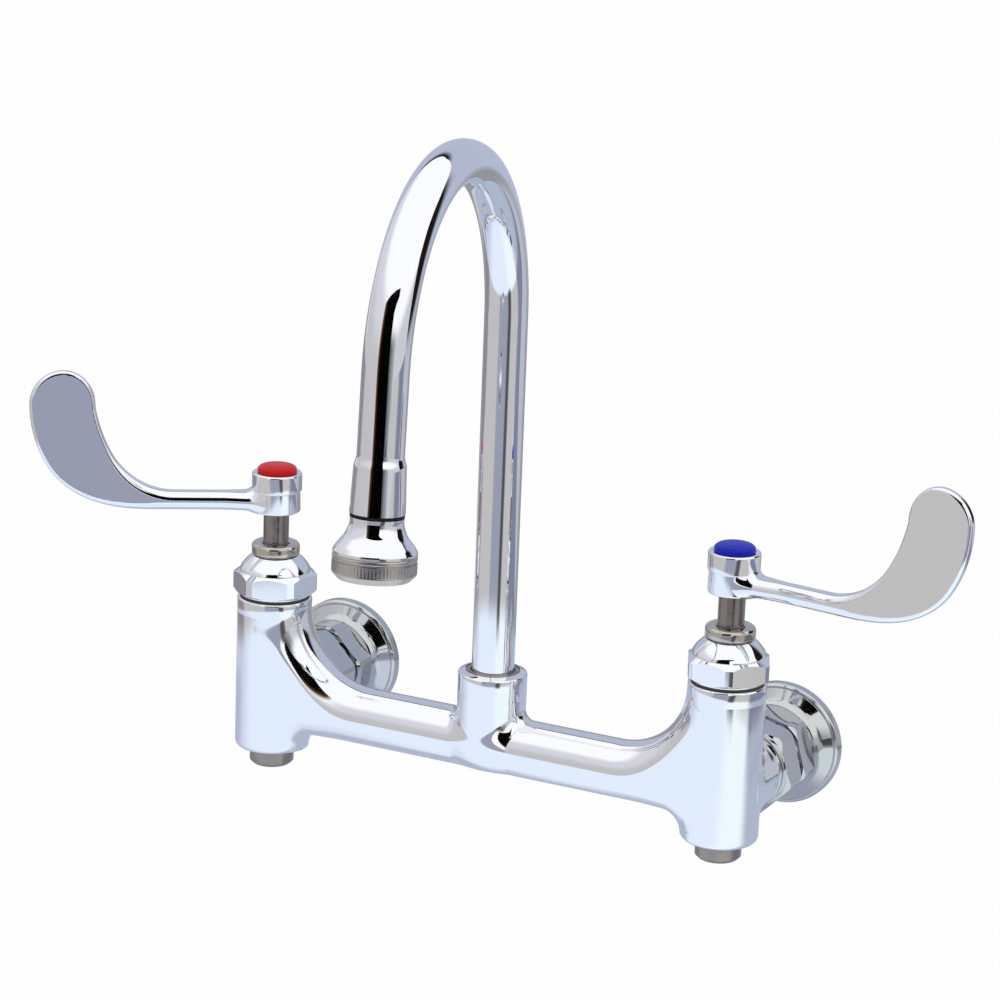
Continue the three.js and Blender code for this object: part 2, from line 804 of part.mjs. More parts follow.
function stopGroup({ side }) {
  const group = new THREE.Group();
  const washerTop = valve.webBottom - valve.closedGap - stop.travel;
  const washerBottom = washerTop - stop.washerHeight;
  const plungerTop = washerBottom - restGap;
  const plungerBottom = spindleCollarTop + restGap;
  const nut = hexBar(stop.plungerFlats, plungerBottom, plungerTop, 0.4, 0.4);
  const thread = rod(stop.spindleThreadRadius + runGap, plungerBottom - 1, plungerTop + 1, innerSides);
  const sealMiddle = stop.spindleRadius + ringSeal.radius + ringSeal.squeeze;
  group.add(
    mesh(`${side}_stop_cap`, stopCap(), 'nickel'),
    mesh(`${side}_stop_seal`, sealRing(sealMiddle, stopSealHeight, ringSeal.radius, innerSides), 'rubber'),
    mesh(`${side}_stop_spindle`, stopSpindle(), 'brass'),
    mesh(`${side}_stop_plunger`, cut(nut, thread), 'brass'),
    mesh(`${side}_stop_washer`, rod(stop.plungerFlats / 2, washerBottom, washerTop, innerSides), 'rubber'),
  );
  return group;
}

// ---- Inlet union ----

// Pieces round the inlet axis are turned with their height as minus the distance from the wall.
function alongInlet(geometry) {
  return geometry.rotateX(-Math.PI / 2);
}

function couplingNut(hexTurn) {
  const hex = hexBar(inlet.hexFlats, -inlet.nutFront, -inlet.nutBack, inlet.nutBevel, 0.8);
  hex.rotateZ(THREE.MathUtils.degToRad(hexTurn));
  const neck = rod(inlet.tailNeck + runGap, -inlet.nutFront - 1, -inlet.nutBack, innerSides);
  const bore = rod(inlet.nutBore, -inlet.nutFront + inlet.nutLip, -inlet.nutBack + 1, shownSides);
  return alongInlet(cut(hex, neck, bore));
}

const tailShoulder = body.armEnd - restGap;
const tailCollarFront = inlet.nutFront - inlet.nutLip - restGap;
const tailEnd = tailCollarFront - inlet.tailCollarHeight;
const washerEnd = tailEnd - restGap - inlet.washerHeight;
const spigotFront = washerEnd - restGap;

function tailpiece() {
  const threadEnd = body.armEnd + inlet.tailThreadHeight - restGap;
  return alongInlet(turned([
    [inlet.tailBore, -threadEnd],
    [inlet.tailThread, -threadEnd],
    [inlet.tailThread, -tailShoulder],
    [inlet.tailNeck, -tailShoulder],
    [inlet.tailNeck, -tailCollarFront],
    [inlet.tailCollar, -tailCollarFront],
    [inlet.tailCollar, -tailEnd],
    [inlet.tailBore, -tailEnd],
    [inlet.tailBore, -threadEnd],
  ], innerSides));
}

function inletFlange(hexTurn) {
  const hex = hexBar(inlet.hexFlats, -inlet.flangeHexFront, -inlet.flangeHexBack, inlet.flangeHexBevel, 0);
  hex.rotateZ(THREE.MathUtils.degToRad(hexTurn));
  const dish = [];
  const steps = 5;
  const rimFront = inlet.flangeRim + 1;
  const dishFoot = inlet.hexFlats / 2 - 0.2;
  const dishEdge = inlet.flangeRadius - 0.7;
  for (let i = 0; i <= steps; i += 1) {
    const angle = ((i / steps) * Math.PI) / 2;
    const distance = inlet.flangeHexBack - (inlet.flangeHexBack - rimFront) * Math.sin(angle);
    dish.push([dishFoot + (dishEdge - dishFoot) * (1 - Math.cos(angle)), -distance]);
  }
  const core = turned([
    [0, -spigotFront],
    [inlet.nutBore - fitGap, -spigotFront],
    [inlet.nutBore - fitGap, -inlet.flangeHexFront + 1],
    [dishFoot, -inlet.flangeHexFront + 1],
    ...dish,
    [inlet.flangeRadius, -inlet.flangeRim],
    [inlet.flangeRadius, 0],
    [0, 0],
  ], shownSides);
  const bore = rod(inlet.tailBore, -spigotFront - 1, 0, innerSides);
  const socket = rod(inlet.socketBore, -inlet.socketDepth, 1, shownSides);
  return alongInlet(cut(join(hex, core), bore, socket));
}

function inletGroup({ side, unionTurn }) {
  const group = new THREE.Group();
  const washer = ring(inlet.washerBore, inlet.tailCollar, -tailEnd + restGap, -washerEnd, innerSides);
  group.add(
    mesh(`${side}_coupling_nut`, couplingNut(unionTurn), 'chrome'),
    mesh(`${side}_inlet_tailpiece`, tailpiece(), 'brass'),
    mesh(`${side}_inlet_washer`, alongInlet(washer), 'rubber'),
    mesh(`${side}_inlet_flange`, inletFlange(unionTurn), 'chrome'),
  );
  return group;
}

// ---- Gooseneck ----

const archRadius = spout.spread / 2;
const archHeight = spout.archTop - spout.tubeRadius - archRadius;
const bend = THREE.MathUtils.degToRad(spout.bend);
const bendEnd = new THREE.Vector2(archRadius * (1 - Math.cos(bend)), archHeight + archRadius * Math.sin(bend));
const legWay = new THREE.Vector2(Math.sin(bend), Math.cos(bend));
const legLength = (bendEnd.y - spout.seamHeight) / -legWay.y;
const legEnd = bendEnd.clone().addScaledVector(legWay, legLength);

// Places along the tube, in the upright plane that it lies in: middle, direction, and the
// share of the widening at the outlet.
function tubePlaces(extra) {
  const up = new THREE.Vector2(0, 1);
  const places = [
    { middle: new THREE.Vector2(0, spout.footHeight - extra), way: up, widened: 0 },
    { middle: new THREE.Vector2(0, archHeight), way: up, widened: 0 },
  ];
  const steps = 20;
  for (let i = 1; i <= steps; i += 1) {
    const angle = (i / steps) * bend;
    const middle = new THREE.Vector2(
      archRadius * (1 - Math.cos(angle)),
      archHeight + archRadius * Math.sin(angle),
    );
    places.push({ middle, way: new THREE.Vector2(Math.sin(angle), Math.cos(angle)), widened: 0 });
  }
  const swageTop = legLength - spout.swageLength;
  const blendSteps = 4;
  for (let i = 0; i <= blendSteps; i += 1) {
    const share = i / blendSteps;
    const middle = bendEnd.clone().addScaledVector(legWay, swageTop - spout.swageBlend * (1 - share));
    places.push({ middle, way: legWay, widened: smooth(share) });
  }
  const end = legLength - rose.gasketHeight / 2 - restGap + extra;
  places.push({ middle: bendEnd.clone().addScaledVector(legWay, end), way: legWay, widened: 1 });
  return places;
}

function tubeSkin(radius, widenedRadius, extra, sides) {
  return skinned(tubePlaces(extra).map(({ middle, way, widened }) => {
    const size = THREE.MathUtils.lerp(radius, widenedRadius, widened);
    const points = [];
    for (let i = 0; i < sides; i += 1) {
      const angle = (i / sides) * 2 * Math.PI;
      const out = size * Math.cos(angle);
      points.push(new THREE.Vector3(middle.x + way.y * out, size * Math.sin(angle), middle.y - way.x * out));
    }
    return points;
  }));
}

function gooseneck() {
  const outside = tubeSkin(spout.tubeRadius, spout.swageRadius, 0, tubeSides);
  const inside = tubeSkin(spout.tubeBore, spout.swageBore, 1, innerSides);
  return cut(outside, inside);
}

// A bush on the foot of the tube, with a lip below it and two grooves for the seals.
const sleeveFoot = bossFloor + restGap;
const sealHeights = [0.3, 0.72].map((share) => sleeveFoot + swivel.height * share);

function swivelSleeve() {
  const bore = spout.tubeRadius + fitGap;
  const outside = [];
  for (const height of sealHeights) {
    outside.push([swivel.radius, height - swivel.grooveWidth / 2]);
    outside.push([swivel.radius - swivel.grooveDepth, height - swivel.grooveWidth / 2]);
    outside.push([swivel.radius - swivel.grooveDepth, height + swivel.grooveWidth / 2]);
    outside.push([swivel.radius, height + swivel.grooveWidth / 2]);
  }
  return turned([
    [spout.tubeBore, sleeveFoot],
    [swivel.radius, sleeveFoot],
    ...outside,
    [swivel.radius, sleeveFoot + swivel.height],
    [bore, sleeveFoot + swivel.height],
    [bore, spout.footHeight - restGap],
    [spout.tubeBore, spout.footHeight - restGap],
    [spout.tubeBore, sleeveFoot],
  ], shownSides);
}

function swivelRetainer() {
  const bottom = sleeveFoot + swivel.height + runGap;
  const bore = spout.tubeRadius + runGap;
  const outside = bossBore - fitGap;
  return turned([
    [bore, bottom],
    [outside, bottom],
    [outside, coneHeight(outside)],
    [bore + 0.4, coneHeight(bore + 0.4)],
    [bore, coneHeight(bore + 0.4) - 0.4],
    [bore, bottom],
  ], shownSides);
}

// Height of the shallow cone on top of the boss.
function coneHeight(radius) {
  const edge = body.bossRadius - body.bossBevel;
  return body.bossTop + (body.bossConeRise * (edge - radius)) / (edge - spout.tubeRadius);
}

// ---- Spray rose, with its heights as minus the length down from the seam ----

function roseBody() {
  const top = -(rose.gasketHeight / 2 + restGap);
  const bell = [];
  const steps = 7;
  for (let i = 0; i <= steps; i += 1) {
    const share = 1 - i / steps;
    const radius = THREE.MathUtils.lerp(rose.neckRadius, rose.bellRadius, smooth(share));
    bell.push([radius, -(rose.neckLength + rose.flareLength * share)]);
  }
  const skirtRadius = rose.bellRadius - rose.wall;
  const cavity = skirtRadius - rose.wall;
  const skirtBottom = -(rose.bellLength + rose.skirtLength);
  return turned([
    [cavity, skirtBottom],
    [skirtRadius, skirtBottom],
    [skirtRadius, -rose.bellLength],
    [rose.bellRadius, -rose.bellLength],
    ...bell,
    [rose.neckRadius, top],
    [rose.spigotRadius, top],
    [rose.spigotRadius, rose.spigotLength],
    [rose.spigotBore, rose.spigotLength],
    [rose.spigotBore, -rose.neckLength - rose.flareLength * 0.55],
    [cavity, -rose.neckLength - rose.flareLength],
    [cavity, skirtBottom],
  ], shownSides);
}

const roseSealTop = -(rose.bellLength + rose.skirtLength + restGap);
const faceTop = roseSealTop - rose.sealHeight - restGap;
const lipTop = faceTop - rose.faceThickness - restGap;

function roseRing() {
  const skirtRadius = rose.bellRadius - rose.wall + fitGap;
  const top = -(rose.bellLength + restGap);
  return turned([
    [rose.ringMouth - rose.wall, -rose.ringBottom],
    [rose.ringMouth, -rose.ringBottom],
    [rose.ringRadius, -rose.ringBevelStart],
    [rose.ringRadius, top - 0.5],
    [rose.ringRadius - 0.4, top],
    [skirtRadius, top],
    [skirtRadius, lipTop],
    [rose.ringMouth - rose.wall, lipTop],
    [rose.ringMouth - rose.wall, -rose.ringBottom],
  ], shownSides);
}

function sprayFace() {
  const radius = rose.bellRadius - rose.wall - fitGap / 2;
  let disc = rod(radius, faceTop - rose.faceThickness, faceTop, shownSides);
  const rings = 2;
  const pitch = (rose.ringMouth - rose.wall) / (rings + 0.8);
  for (let row = 0; row <= rings; row += 1) {
    const count = Math.max(1, row * 6);
    for (let i = 0; i < count; i += 1) {
      const angle = (i / count) * 2 * Math.PI;
      const hole = rod(rose.holeRadius, faceTop - rose.faceThickness - 1, faceTop + 1, 6);
      hole.translate(row * pitch * Math.cos(angle), row * pitch * Math.sin(angle), 0);
      disc = cut(disc, hole);
    }
  }
  return disc;
}

// Everything that turns with the gooseneck, round the riser's axis, with the tube along +X.
function spoutGroup() {
  const group = new THREE.Group();
  const sealMiddle = (swivel.radius - swivel.grooveDepth + bossBore) / 2 - ringSeal.squeeze;
  group.add(
    mesh('gooseneck', gooseneck(), 'chrome'),
    mesh('swivel_sleeve', swivelSleeve(), 'brass'),
    mesh('lower_swivel_seal', sealRing(sealMiddle, sealHeights[0], ringSeal.radius, shownSides), 'rubber'),
    mesh('upper_swivel_seal', sealRing(sealMiddle, sealHeights[1], ringSeal.radius, shownSides), 'rubber'),
  );
  const outlet = new THREE.Group();
  outlet.position.set(legEnd.x, 0, legEnd.y);
  outlet.rotation.y = bend - Math.PI;
  const halfGasket = rose.gasketHeight / 2;
  const skirt = rose.bellRadius - rose.wall;
  outlet.add(
    mesh('outlet_gasket', ring(
      rose.spigotRadius + fitGap,
      rose.neckRadius,
      -halfGasket,
      halfGasket,
      shownSides,
    ), 'rubber'),
    mesh('rose_body', roseBody(), 'chrome'),
    mesh('rose_seal', ring(
      skirt - rose.wall,
      skirt - fitGap / 2,
      roseSealTop - rose.sealHeight,
      roseSealTop,
      innerSides,
    ), 'rubber'),
    mesh('spray_face', sprayFace(), 'brushed'),
    mesh('rose_ring', roseRing(), 'brushed'),
  );
  group.add(outlet);
  group.rotation.z = THREE.MathUtils.degToRad(spout.swivel - 90);
  return group;
}

// ---- Assembly ----

const faucet = new THREE.Group();
faucet.add(mesh('body_casting', bodyCasting(), 'chrome'));

for (const side of sides) {
  const x = (side.sign * inletCentres) / 2;
  const valves = valveGroup(side);
  const stops = stopGroup(side);
  const inlets = inletGroup(side);
  valves.position.set(x, -wallToAxis, 0);
  stops.position.set(x, -wallToAxis, 0);
  inlets.position.set(x, 0, 0);
  faucet.add(valves, stops, inlets);
}

const spoutPieces = spoutGroup();
spoutPieces.position.set(0, -wallToAxis, 0);
const retainer = mesh('swivel_retainer', swivelRetainer(), 'nickel');
retainer.position.set(0, -wallToAxis, 0);
faucet.add(spoutPieces, retainer);

export default faucet;
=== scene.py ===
import itertools
import json
from math import acos, asin, ceil, cos, degrees, dist, pi, radians, sin, tan
import bpy
import numpy as np
from mathutils import Matrix, Vector


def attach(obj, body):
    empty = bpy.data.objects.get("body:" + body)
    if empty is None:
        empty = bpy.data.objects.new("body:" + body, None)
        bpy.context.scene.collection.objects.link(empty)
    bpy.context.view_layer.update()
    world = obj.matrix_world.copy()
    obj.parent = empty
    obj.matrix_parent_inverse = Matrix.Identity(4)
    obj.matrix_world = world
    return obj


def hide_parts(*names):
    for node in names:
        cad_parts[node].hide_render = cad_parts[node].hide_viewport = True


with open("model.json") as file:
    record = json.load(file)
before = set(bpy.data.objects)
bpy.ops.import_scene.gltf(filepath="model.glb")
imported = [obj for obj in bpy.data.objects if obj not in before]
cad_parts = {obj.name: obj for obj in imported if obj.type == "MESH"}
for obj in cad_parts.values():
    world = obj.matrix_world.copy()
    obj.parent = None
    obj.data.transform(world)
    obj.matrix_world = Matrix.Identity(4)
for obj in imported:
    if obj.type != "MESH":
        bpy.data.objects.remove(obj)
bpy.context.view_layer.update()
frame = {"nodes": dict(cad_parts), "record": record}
print("frame loaded with", len(frame["nodes"]), "nodes")

# Sizes are in millimetres, and become metres when a piece's mesh is made.
metresPerMm = 0.001
faucet = {
    "inletCentres": 203.2,
    "wallToAxis": 63.5,
    "roundSides": 128,  # sides of the larger turned pieces
    "smallSides": 72,
    "sharpAngle": 26,  # degrees at which an edge stops being smooth
    "proud": 0.03,  # how far a crisp rim stands over the casting it finishes
}
sides = {
    "hot": {"x": -faucet["inletCentres"] / 2, "leverTurn": 180 + 33, "bonnetTurn": -8, "unionTurn": 15},
    "cold": {"x": faucet["inletCentres"] / 2, "leverTurn": -8, "bonnetTurn": 24, "unionTurn": -16},
}
nodeSlots = {row["node"]: row["material_slot"] for row in frame["record"]["subparts"]}


# Places, and meshes made of shells. A shell is a pair of points and faces.
def upright(x, height=0.0):
    return Matrix.Translation((x, -faucet["wallToAxis"], height))


valveAxis = {side: upright(values["x"]) for side, values in sides.items()}


def lying(x, y):
    # A piece turned round +Z comes to lie along +Y, with its height as minus the distance to the wall.
    return Matrix.Translation((x, y, 0)) @ Matrix.Rotation(-pi / 2, 4, "X")


def placed(shell, place):
    points, faces = shell
    return points @ np.array(place.to_3x3()).T + np.array(place.translation), faces


def around(radius, angle, height):
    return radius * cos(angle), radius * sin(angle), height


def keepPiece(name, mesh, body, node):
    # A piece dresses the solid of its own name, such as hot_stop_cap for hotStopCap, unless it names another.
    node = node or "".join("_" + letter.lower() if letter.isupper() else letter for letter in name)
    piece = bpy.data.objects.new(name, mesh)
    bpy.context.collection.objects.link(piece)
    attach(piece, body)
    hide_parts(node)


def makePiece(name, shells, material, place=Matrix(), body="root", node=None, normals=None):
    faces = []
    start = 0
    for points, shellFaces in shells:
        faces += [tuple(start + corner for corner in face) for face in shellFaces]
        start += len(points)
    points, faces = placed((np.concatenate([shell[0] for shell in shells]), faces), place)
    mesh = bpy.data.meshes.new(name)
    mesh.from_pydata((points * metresPerMm).tolist(), [], faces)
    mesh.materials.append(material)
    mesh.shade_smooth()
    if normals is None:
        mesh.set_sharp_from_angle(angle=radians(faucet["sharpAngle"]))
    else:
        normals = normals @ np.array(place.to_3x3()).T
        mesh.normals_split_custom_set_from_vertices(normals.tolist())
    keepPiece(name, mesh, body, node)


def softened(profile, steps=5):
    # Rounds each (radius, height, fillet) corner of a turned outline with an arc.
    points = [Vector(corner[:2]) for corner in profile]
    outline = []
    for i, corner in enumerate(profile):
        fillet = corner[2] if len(corner) > 2 else 0
        here = points[i]
        if fillet == 0 or i in (0, len(profile) - 1):
            outline.append(tuple(here))
            continue
        back, ahead = points[i - 1] - here, points[i + 1] - here
        shorter = min(back.length, ahead.length)
        back.normalize()
        ahead.normalize()
        half = acos(max(-1, min(1, back.dot(ahead)))) / 2
        cutBack = min(fillet / tan(half), 0.49 * shorter)
        centre = here + (back + ahead).normalized() * (cutBack * tan(half) / sin(half))
        first = here + back * cutBack - centre
        sweep = first.angle_signed(here + ahead * cutBack - centre)
        for step in range(steps + 1):
            spoke = first.copy()
            spoke.rotate(Matrix.Rotation(-sweep * step / steps, 2))
            outline.append(tuple(centre + spoke))
    return outline


def curveThrough(corners, steps):
    # A smooth curve through the points, with the given number of steps between each two.
    ends = [Vector(corner) for corner in [corners[0]] + corners + [corners[-1]]]
    curve = []
    for before, first, last, after in zip(ends, ends[1:], ends[2:], ends[3:]):
        for step in range(steps):
            t = step / steps
            point = first * 2 + (last - before) * t + (before * 2 - first * 5 + last * 4 - after) * t ** 2
            curve.append(tuple((point + (first * 3 - before - last * 3 + after) * t ** 3) / 2))
    return curve + [tuple(corners[-1])]


def turned(outline, count=faucet["roundSides"]):
    # A closed skin round Z from a (radius, height) outline that runs upwards along its outside.
    loop = dist(outline[0], outline[-1]) < 1e-6
    points, rings = [], []
    for radius, height in outline[:-1] if loop else outline:
        pole = radius < 1e-6
        rings.append((len(points), pole))
        for angle in [2 * pi * i / count for i in range(1 if pole else count)]:
            points.append(around(radius, angle, height))
    faces = []
    for (low, lowPole), (high, highPole) in zip(rings, rings[1:] + (rings[:1] if loop else [])):
        for i in range(0 if lowPole and highPole else count):
            j = (i + 1) % count
            if lowPole:
                faces.append((low, high + j, high + i))
            elif highPole:
                faces.append((low + i, low + j, high))
            else:
                faces.append((low + i, low + j, high + j, high + i))
    return np.array(points, float), faces


def turnedRing(*corners, steps=5):
    # A ring round Z from the corners of its section.
    return turned(softened([*corners, corners[0]], steps))


def hexSkin(flats, corner, bottom, top, lowBevel, highBevel, slope, core, turn):
    # A hexagon with blunt corners of the radius `corner`, turned off by a cone at each end, round a bore.
    steps = 25
    apothem = flats / 2
    land = degrees(acos(min(1, apothem / corner)))
    angles = []
    for start in range(0, 360, 60):
        angles += [start - land + 2 * land * i / steps for i in range(steps)]
        angles += [start + land + (60 - 2 * land) * i / 4 for i in range(4)]
    lowEdge, highEdge = corner - lowBevel, corner - highBevel
    points = []
    for bearing in angles:
        angle = radians(bearing + turn)
        fromFace = radians(bearing % 60)
        fromFace = min(fromFace, radians(60) - fromFace)
        outer = min(corner, apothem / cos(fromFace))
        rows = [
            (core, bottom), (min(lowEdge, outer), bottom), (outer, bottom + max(0, outer - lowEdge) * slope),
            (outer, top - max(0, outer - highEdge) * slope), (min(highEdge, outer), top), (core, top),
        ]
        points += [around(radius, angle, height) for radius, height in rows]
    faces = []
    for i in range(len(angles)):
        here, ahead = i * len(rows), (i + 1) % len(angles) * len(rows)
        for row in range(len(rows)):
            up = (row + 1) % len(rows)
            faces.append((here + row, ahead + row, ahead + up, here + up))
    return np.array(points, float), faces


def surfaceOf(field, low, high, cell, relaxations=3):
    # Meshes the zero level of a distance field: one point in each cell that it crosses, moved on to it.
    counts = [int(ceil((high[k] - low[k]) / cell)) + 1 for k in range(3)]
    axes = [low[k] + cell * np.arange(counts[k]) for k in range(3)]
    grid = np.stack(np.meshgrid(*axes, indexing="ij"), -1)
    inside = field(grid.reshape(-1, 3)).reshape(counts) < 0
    corners = np.zeros([n - 1 for n in counts], int)
    for shifts in itertools.product((0, 1), repeat=3):
        corners += inside[tuple(slice(shift, n - 1 + shift) for shift, n in zip(shifts, counts))]
    crossed = (corners > 0) & (corners < 8)
    index = np.full(crossed.shape, -1)
    cells = np.argwhere(crossed)
    index[tuple(cells.T)] = np.arange(len(cells))
    points = np.array(low) + cell * (cells + 0.5)
    faces = []
    for axis in range(3):
        others = [k for k in range(3) if k != axis]
        ahead = np.take(inside, range(1, counts[axis]), axis)
        behind = np.take(inside, range(counts[axis] - 1), axis)
        edges = np.argwhere(behind != ahead)
        for k in others:
            edges = edges[(edges[:, k] > 0) & (edges[:, k] < counts[k] - 1)]
        quads = np.empty((len(edges), 4), int)
        for corner, steps in enumerate(((1, 1), (0, 1), (0, 0), (1, 0))):
            neighbour = edges.copy()
            neighbour[:, others] -= steps
            quads[:, corner] = index[tuple(neighbour.T)]
        flip = behind[tuple(edges.T)] == (axis == 1)
        quads[flip] = quads[flip][:, ::-1]
        faces.append(quads)
    faces = np.concatenate(faces)
    points = ontoSurface(field, points, 4)
    for turn in range(relaxations):
        total = np.zeros_like(points)
        share = np.zeros(len(points))
        for i, step in itertools.product(range(4), (1, -1)):
            np.add.at(total, faces[:, i], points[faces[:, (i + step) % 4]])
            np.add.at(share, faces[:, i], 1)
        rounds = 4 if turn == relaxations - 1 else 1
        points = ontoSurface(field, 0.5 * points + 0.5 * total / share[:, None], rounds)
    return points, faces.tolist()


def slopeOf(field, points, step=0.02):
    slope = np.empty_like(points)
    for k in range(3):
        shift = np.zeros(3)
        shift[k] = step
        slope[:, k] = (field(points + shift) - field(points - shift)) / (2 * step)
    return slope


def ontoSurface(field, points, rounds, longest=0.8):
    for _ in range(rounds):
        slope = slopeOf(field, points)
        size = np.maximum((slope ** 2).sum(1), 1e-4)
        move = -(field(points) / size)[:, None] * slope
        length = np.linalg.norm(move, axis=1, keepdims=True)
        points = points + move * np.minimum(1, longest / np.maximum(length, 1e-9))
    return points


def normalsOf(field, points):
    slope = slopeOf(field, points)
    return slope / np.maximum(np.linalg.norm(slope, axis=1, keepdims=True), 1e-9)


def smooth(share):
    share = np.clip(share, 0, 1)
    return share * share * (3 - 2 * share)


def rounder(first, second, radius):
    # The union of two distances, with a fillet of the radius where they meet.
    near = np.maximum(radius - first, 0), np.maximum(radius - second, 0)
    return np.maximum(radius, np.minimum(first, second)) - np.hypot(*near)


def roundedBox(across, along, radius):
    outside = np.hypot(np.maximum(across + radius, 0), np.maximum(along + radius, 0))
    return outside + np.minimum(np.maximum(across, along) + radius, 0) - radius


# Short ways to add nodes to a tree.
def linear(colour):
    shades = [int(colour[i:i + 2], 16) / 255 for i in (1, 3, 5)]
    return [c / 12.92 if c <= 0.04045 else ((c + 0.055) / 1.055) ** 2.4 for c in shades] + [1]


def addNode(tree, kind, inputs=None, **settings):
    node = tree.nodes.new(kind)
    for name, value in settings.items():
        setattr(node, name, value)
    for name, value in (inputs or {}).items():
        socket = node.inputs[name]
        if isinstance(value, bpy.types.NodeSocket):
            tree.links.new(value, socket)
        else:
            socket.default_value = value
    return node


def made(tree, kind, inputs=None, **settings):
    # Adds a node and gives its first output.
    return addNode(tree, kind, inputs, **settings).outputs[0]


def calc(tree, operation, *values):
    return made(tree, "ShaderNodeMath", dict(enumerate(values)), operation=operation)


def ranged(tree, value, start, end, curve="LINEAR"):
    # Takes a value from one (low, high) range to another.
    return made(tree, "ShaderNodeMapRange", {
        "Value": value, "From Min": start[0], "From Max": start[1], "To Min": end[0], "To Max": end[1],
    }, interpolation_type=curve)


def blended(tree, share, first, second):
    mix = addNode(tree, "ShaderNodeMix", {"Factor": share, 6: first, 7: second}, data_type="RGBA")
    return mix.outputs[2]


def objectPlace(tree):
    return addNode(tree, "ShaderNodeTexCoord").outputs["Object"]


def splitUp(tree, vector):
    return addNode(tree, "ShaderNodeSeparateXYZ", {"Vector": vector}).outputs


# The materials.
def newMaterial(name):
    material = bpy.data.materials.new(name)
    material.use_nodes = True
    material.node_tree.nodes.clear()
    return material, material.node_tree


def perMm(size):
    # The scale of a noise texture whose marks are about this many millimetres wide.
    return 1 / (size * metresPerMm)


def noise(tree, size, detail):
    place = objectPlace(tree)
    return made(tree, "ShaderNodeTexNoise", {"Vector": place, "Scale": perMm(size), "Detail": detail})


def bumped(tree, height, depth, strength=1):
    distance = depth * metresPerMm
    return made(tree, "ShaderNodeBump", {"Height": height, "Strength": strength, "Distance": distance})


def coat(tree, colour, roughness, normal, more):
    shader = made(tree, "ShaderNodeBsdfPrincipled", {
        "Base Color": colour, "Roughness": roughness, "Normal": normal, **more,
    })
    addNode(tree, "ShaderNodeOutputMaterial", {"Surface": shader})


def chromePlate(name, filmSize, roughness, waveSize, waveHeight, colour="#f0f1f4"):
    # Chrome plate over polished brass: a clear mirror with a slightly blue cast. A thin film of
    # water marks clouds the gloss, and the polishing leaves a faint waviness in what it mirrors.
    material, tree = newMaterial(name)
    gloss = ranged(tree, noise(tree, filmSize, 4), (0.35, 0.75), roughness)
    bump = bumped(tree, noise(tree, waveSize, 1), waveHeight)
    coat(tree, linear(colour), gloss, bump, {"Metallic": 1})
    return material


def turnedNickel(name, colours, roughness, pitch, cutDepth):
    # Nickel plate over turned brass: warm grey and satin, with the lathe's fine rings left in it.
    # The rings are drawn wider apart than real tool marks, so that they show.
    material, tree = newMaterial(name)
    rings = made(tree, "ShaderNodeTexNoise", {
        "W": splitUp(tree, objectPlace(tree))["Z"], "Scale": perMm(pitch), "Detail": 3,
    }, noise_dimensions="1D")
    patches = noise(tree, 3, 5)
    tone = blended(tree, patches, linear(colours[0]), linear(colours[1]))
    gloss = ranged(tree, patches, (0.3, 0.7), roughness)
    coat(tree, tone, gloss, bumped(tree, rings, cutDepth), {"Metallic": 1})
    return material


def mouldedPlastic(name, colours, grain, roughness):
    # Moulded plastic or rubber: one body colour with a soft mottle, and a fine skin texture.
    material, tree = newMaterial(name)
    mottle = noise(tree, 2.5, 4)
    tone = blended(tree, mottle, linear(colours[0]), linear(colours[1]))
    gloss = ranged(tree, mottle, (0.3, 0.7), roughness)
    bump = bumped(tree, noise(tree, grain, 2), 0.02, 0.3)
    coat(tree, tone, gloss, bump, {"Specular IOR Level": 0.2})
    return material


castChrome = chromePlate("castChrome", 9, (0.03, 0.09), 14, 0.05)
tubeChrome = chromePlate("tubeChrome", 14, (0.02, 0.05), 25, 0.02)
leverChrome = chromePlate("leverChrome", 12, (0.04, 0.09), 18, 0.03)
unionChrome = chromePlate("unionChrome", 6, (0.04, 0.1), 8, 0.02, "#c9cacc")
nutChrome = chromePlate("nutChrome", 5, (0.03, 0.08), 8, 0.015)
stemNickel = turnedNickel("stemNickel", ("#8d8580", "#a09892"), (0.16, 0.26), 0.35, 0.004)
nutNickel = turnedNickel("nutNickel", ("#bdb5ae", "#cfc8c1"), (0.08, 0.14), 0.5, 0.003)
brushedNickel = turnedNickel("brushedNickel", ("#bab4ad", "#cec8c1"), (0.24, 0.34), 0.25, 0.004)
machinedBrass = turnedNickel("machinedBrass", ("#b5914b", "#c8a55e"), (0.25, 0.38), 0.4, 0.006)
redPlastic = mouldedPlastic("redPlastic", ("#b8060a", "#c80e12"), 0.4, (0.3, 0.4))
bluePlastic = mouldedPlastic("bluePlastic", ("#0a159c", "#1020b6"), 0.4, (0.3, 0.4))
blackRubber = mouldedPlastic("blackRubber", ("#101010", "#1c1b1b"), 0.3, (0.5, 0.7))
packingFibre = mouldedPlastic("packingFibre", ("#453c34", "#5a4f45"), 0.5, (0.7, 0.9))
slotMaterials = {
    "chrome_plate": nutChrome,
    "satin_nickel": stemNickel,
    "brushed_nickel": brushedNickel,
    "bare_brass": machinedBrass,
    "black_rubber": blackRubber,
    "packing_fibre": packingFibre,
    "red_plastic": redPlastic,
    "blue_plastic": bluePlastic,
}
for node, piece in frame["nodes"].items():
    piece.data.materials.clear()
    piece.data.materials.append(slotMaterials[nodeSlots[node]])
print("materials made")


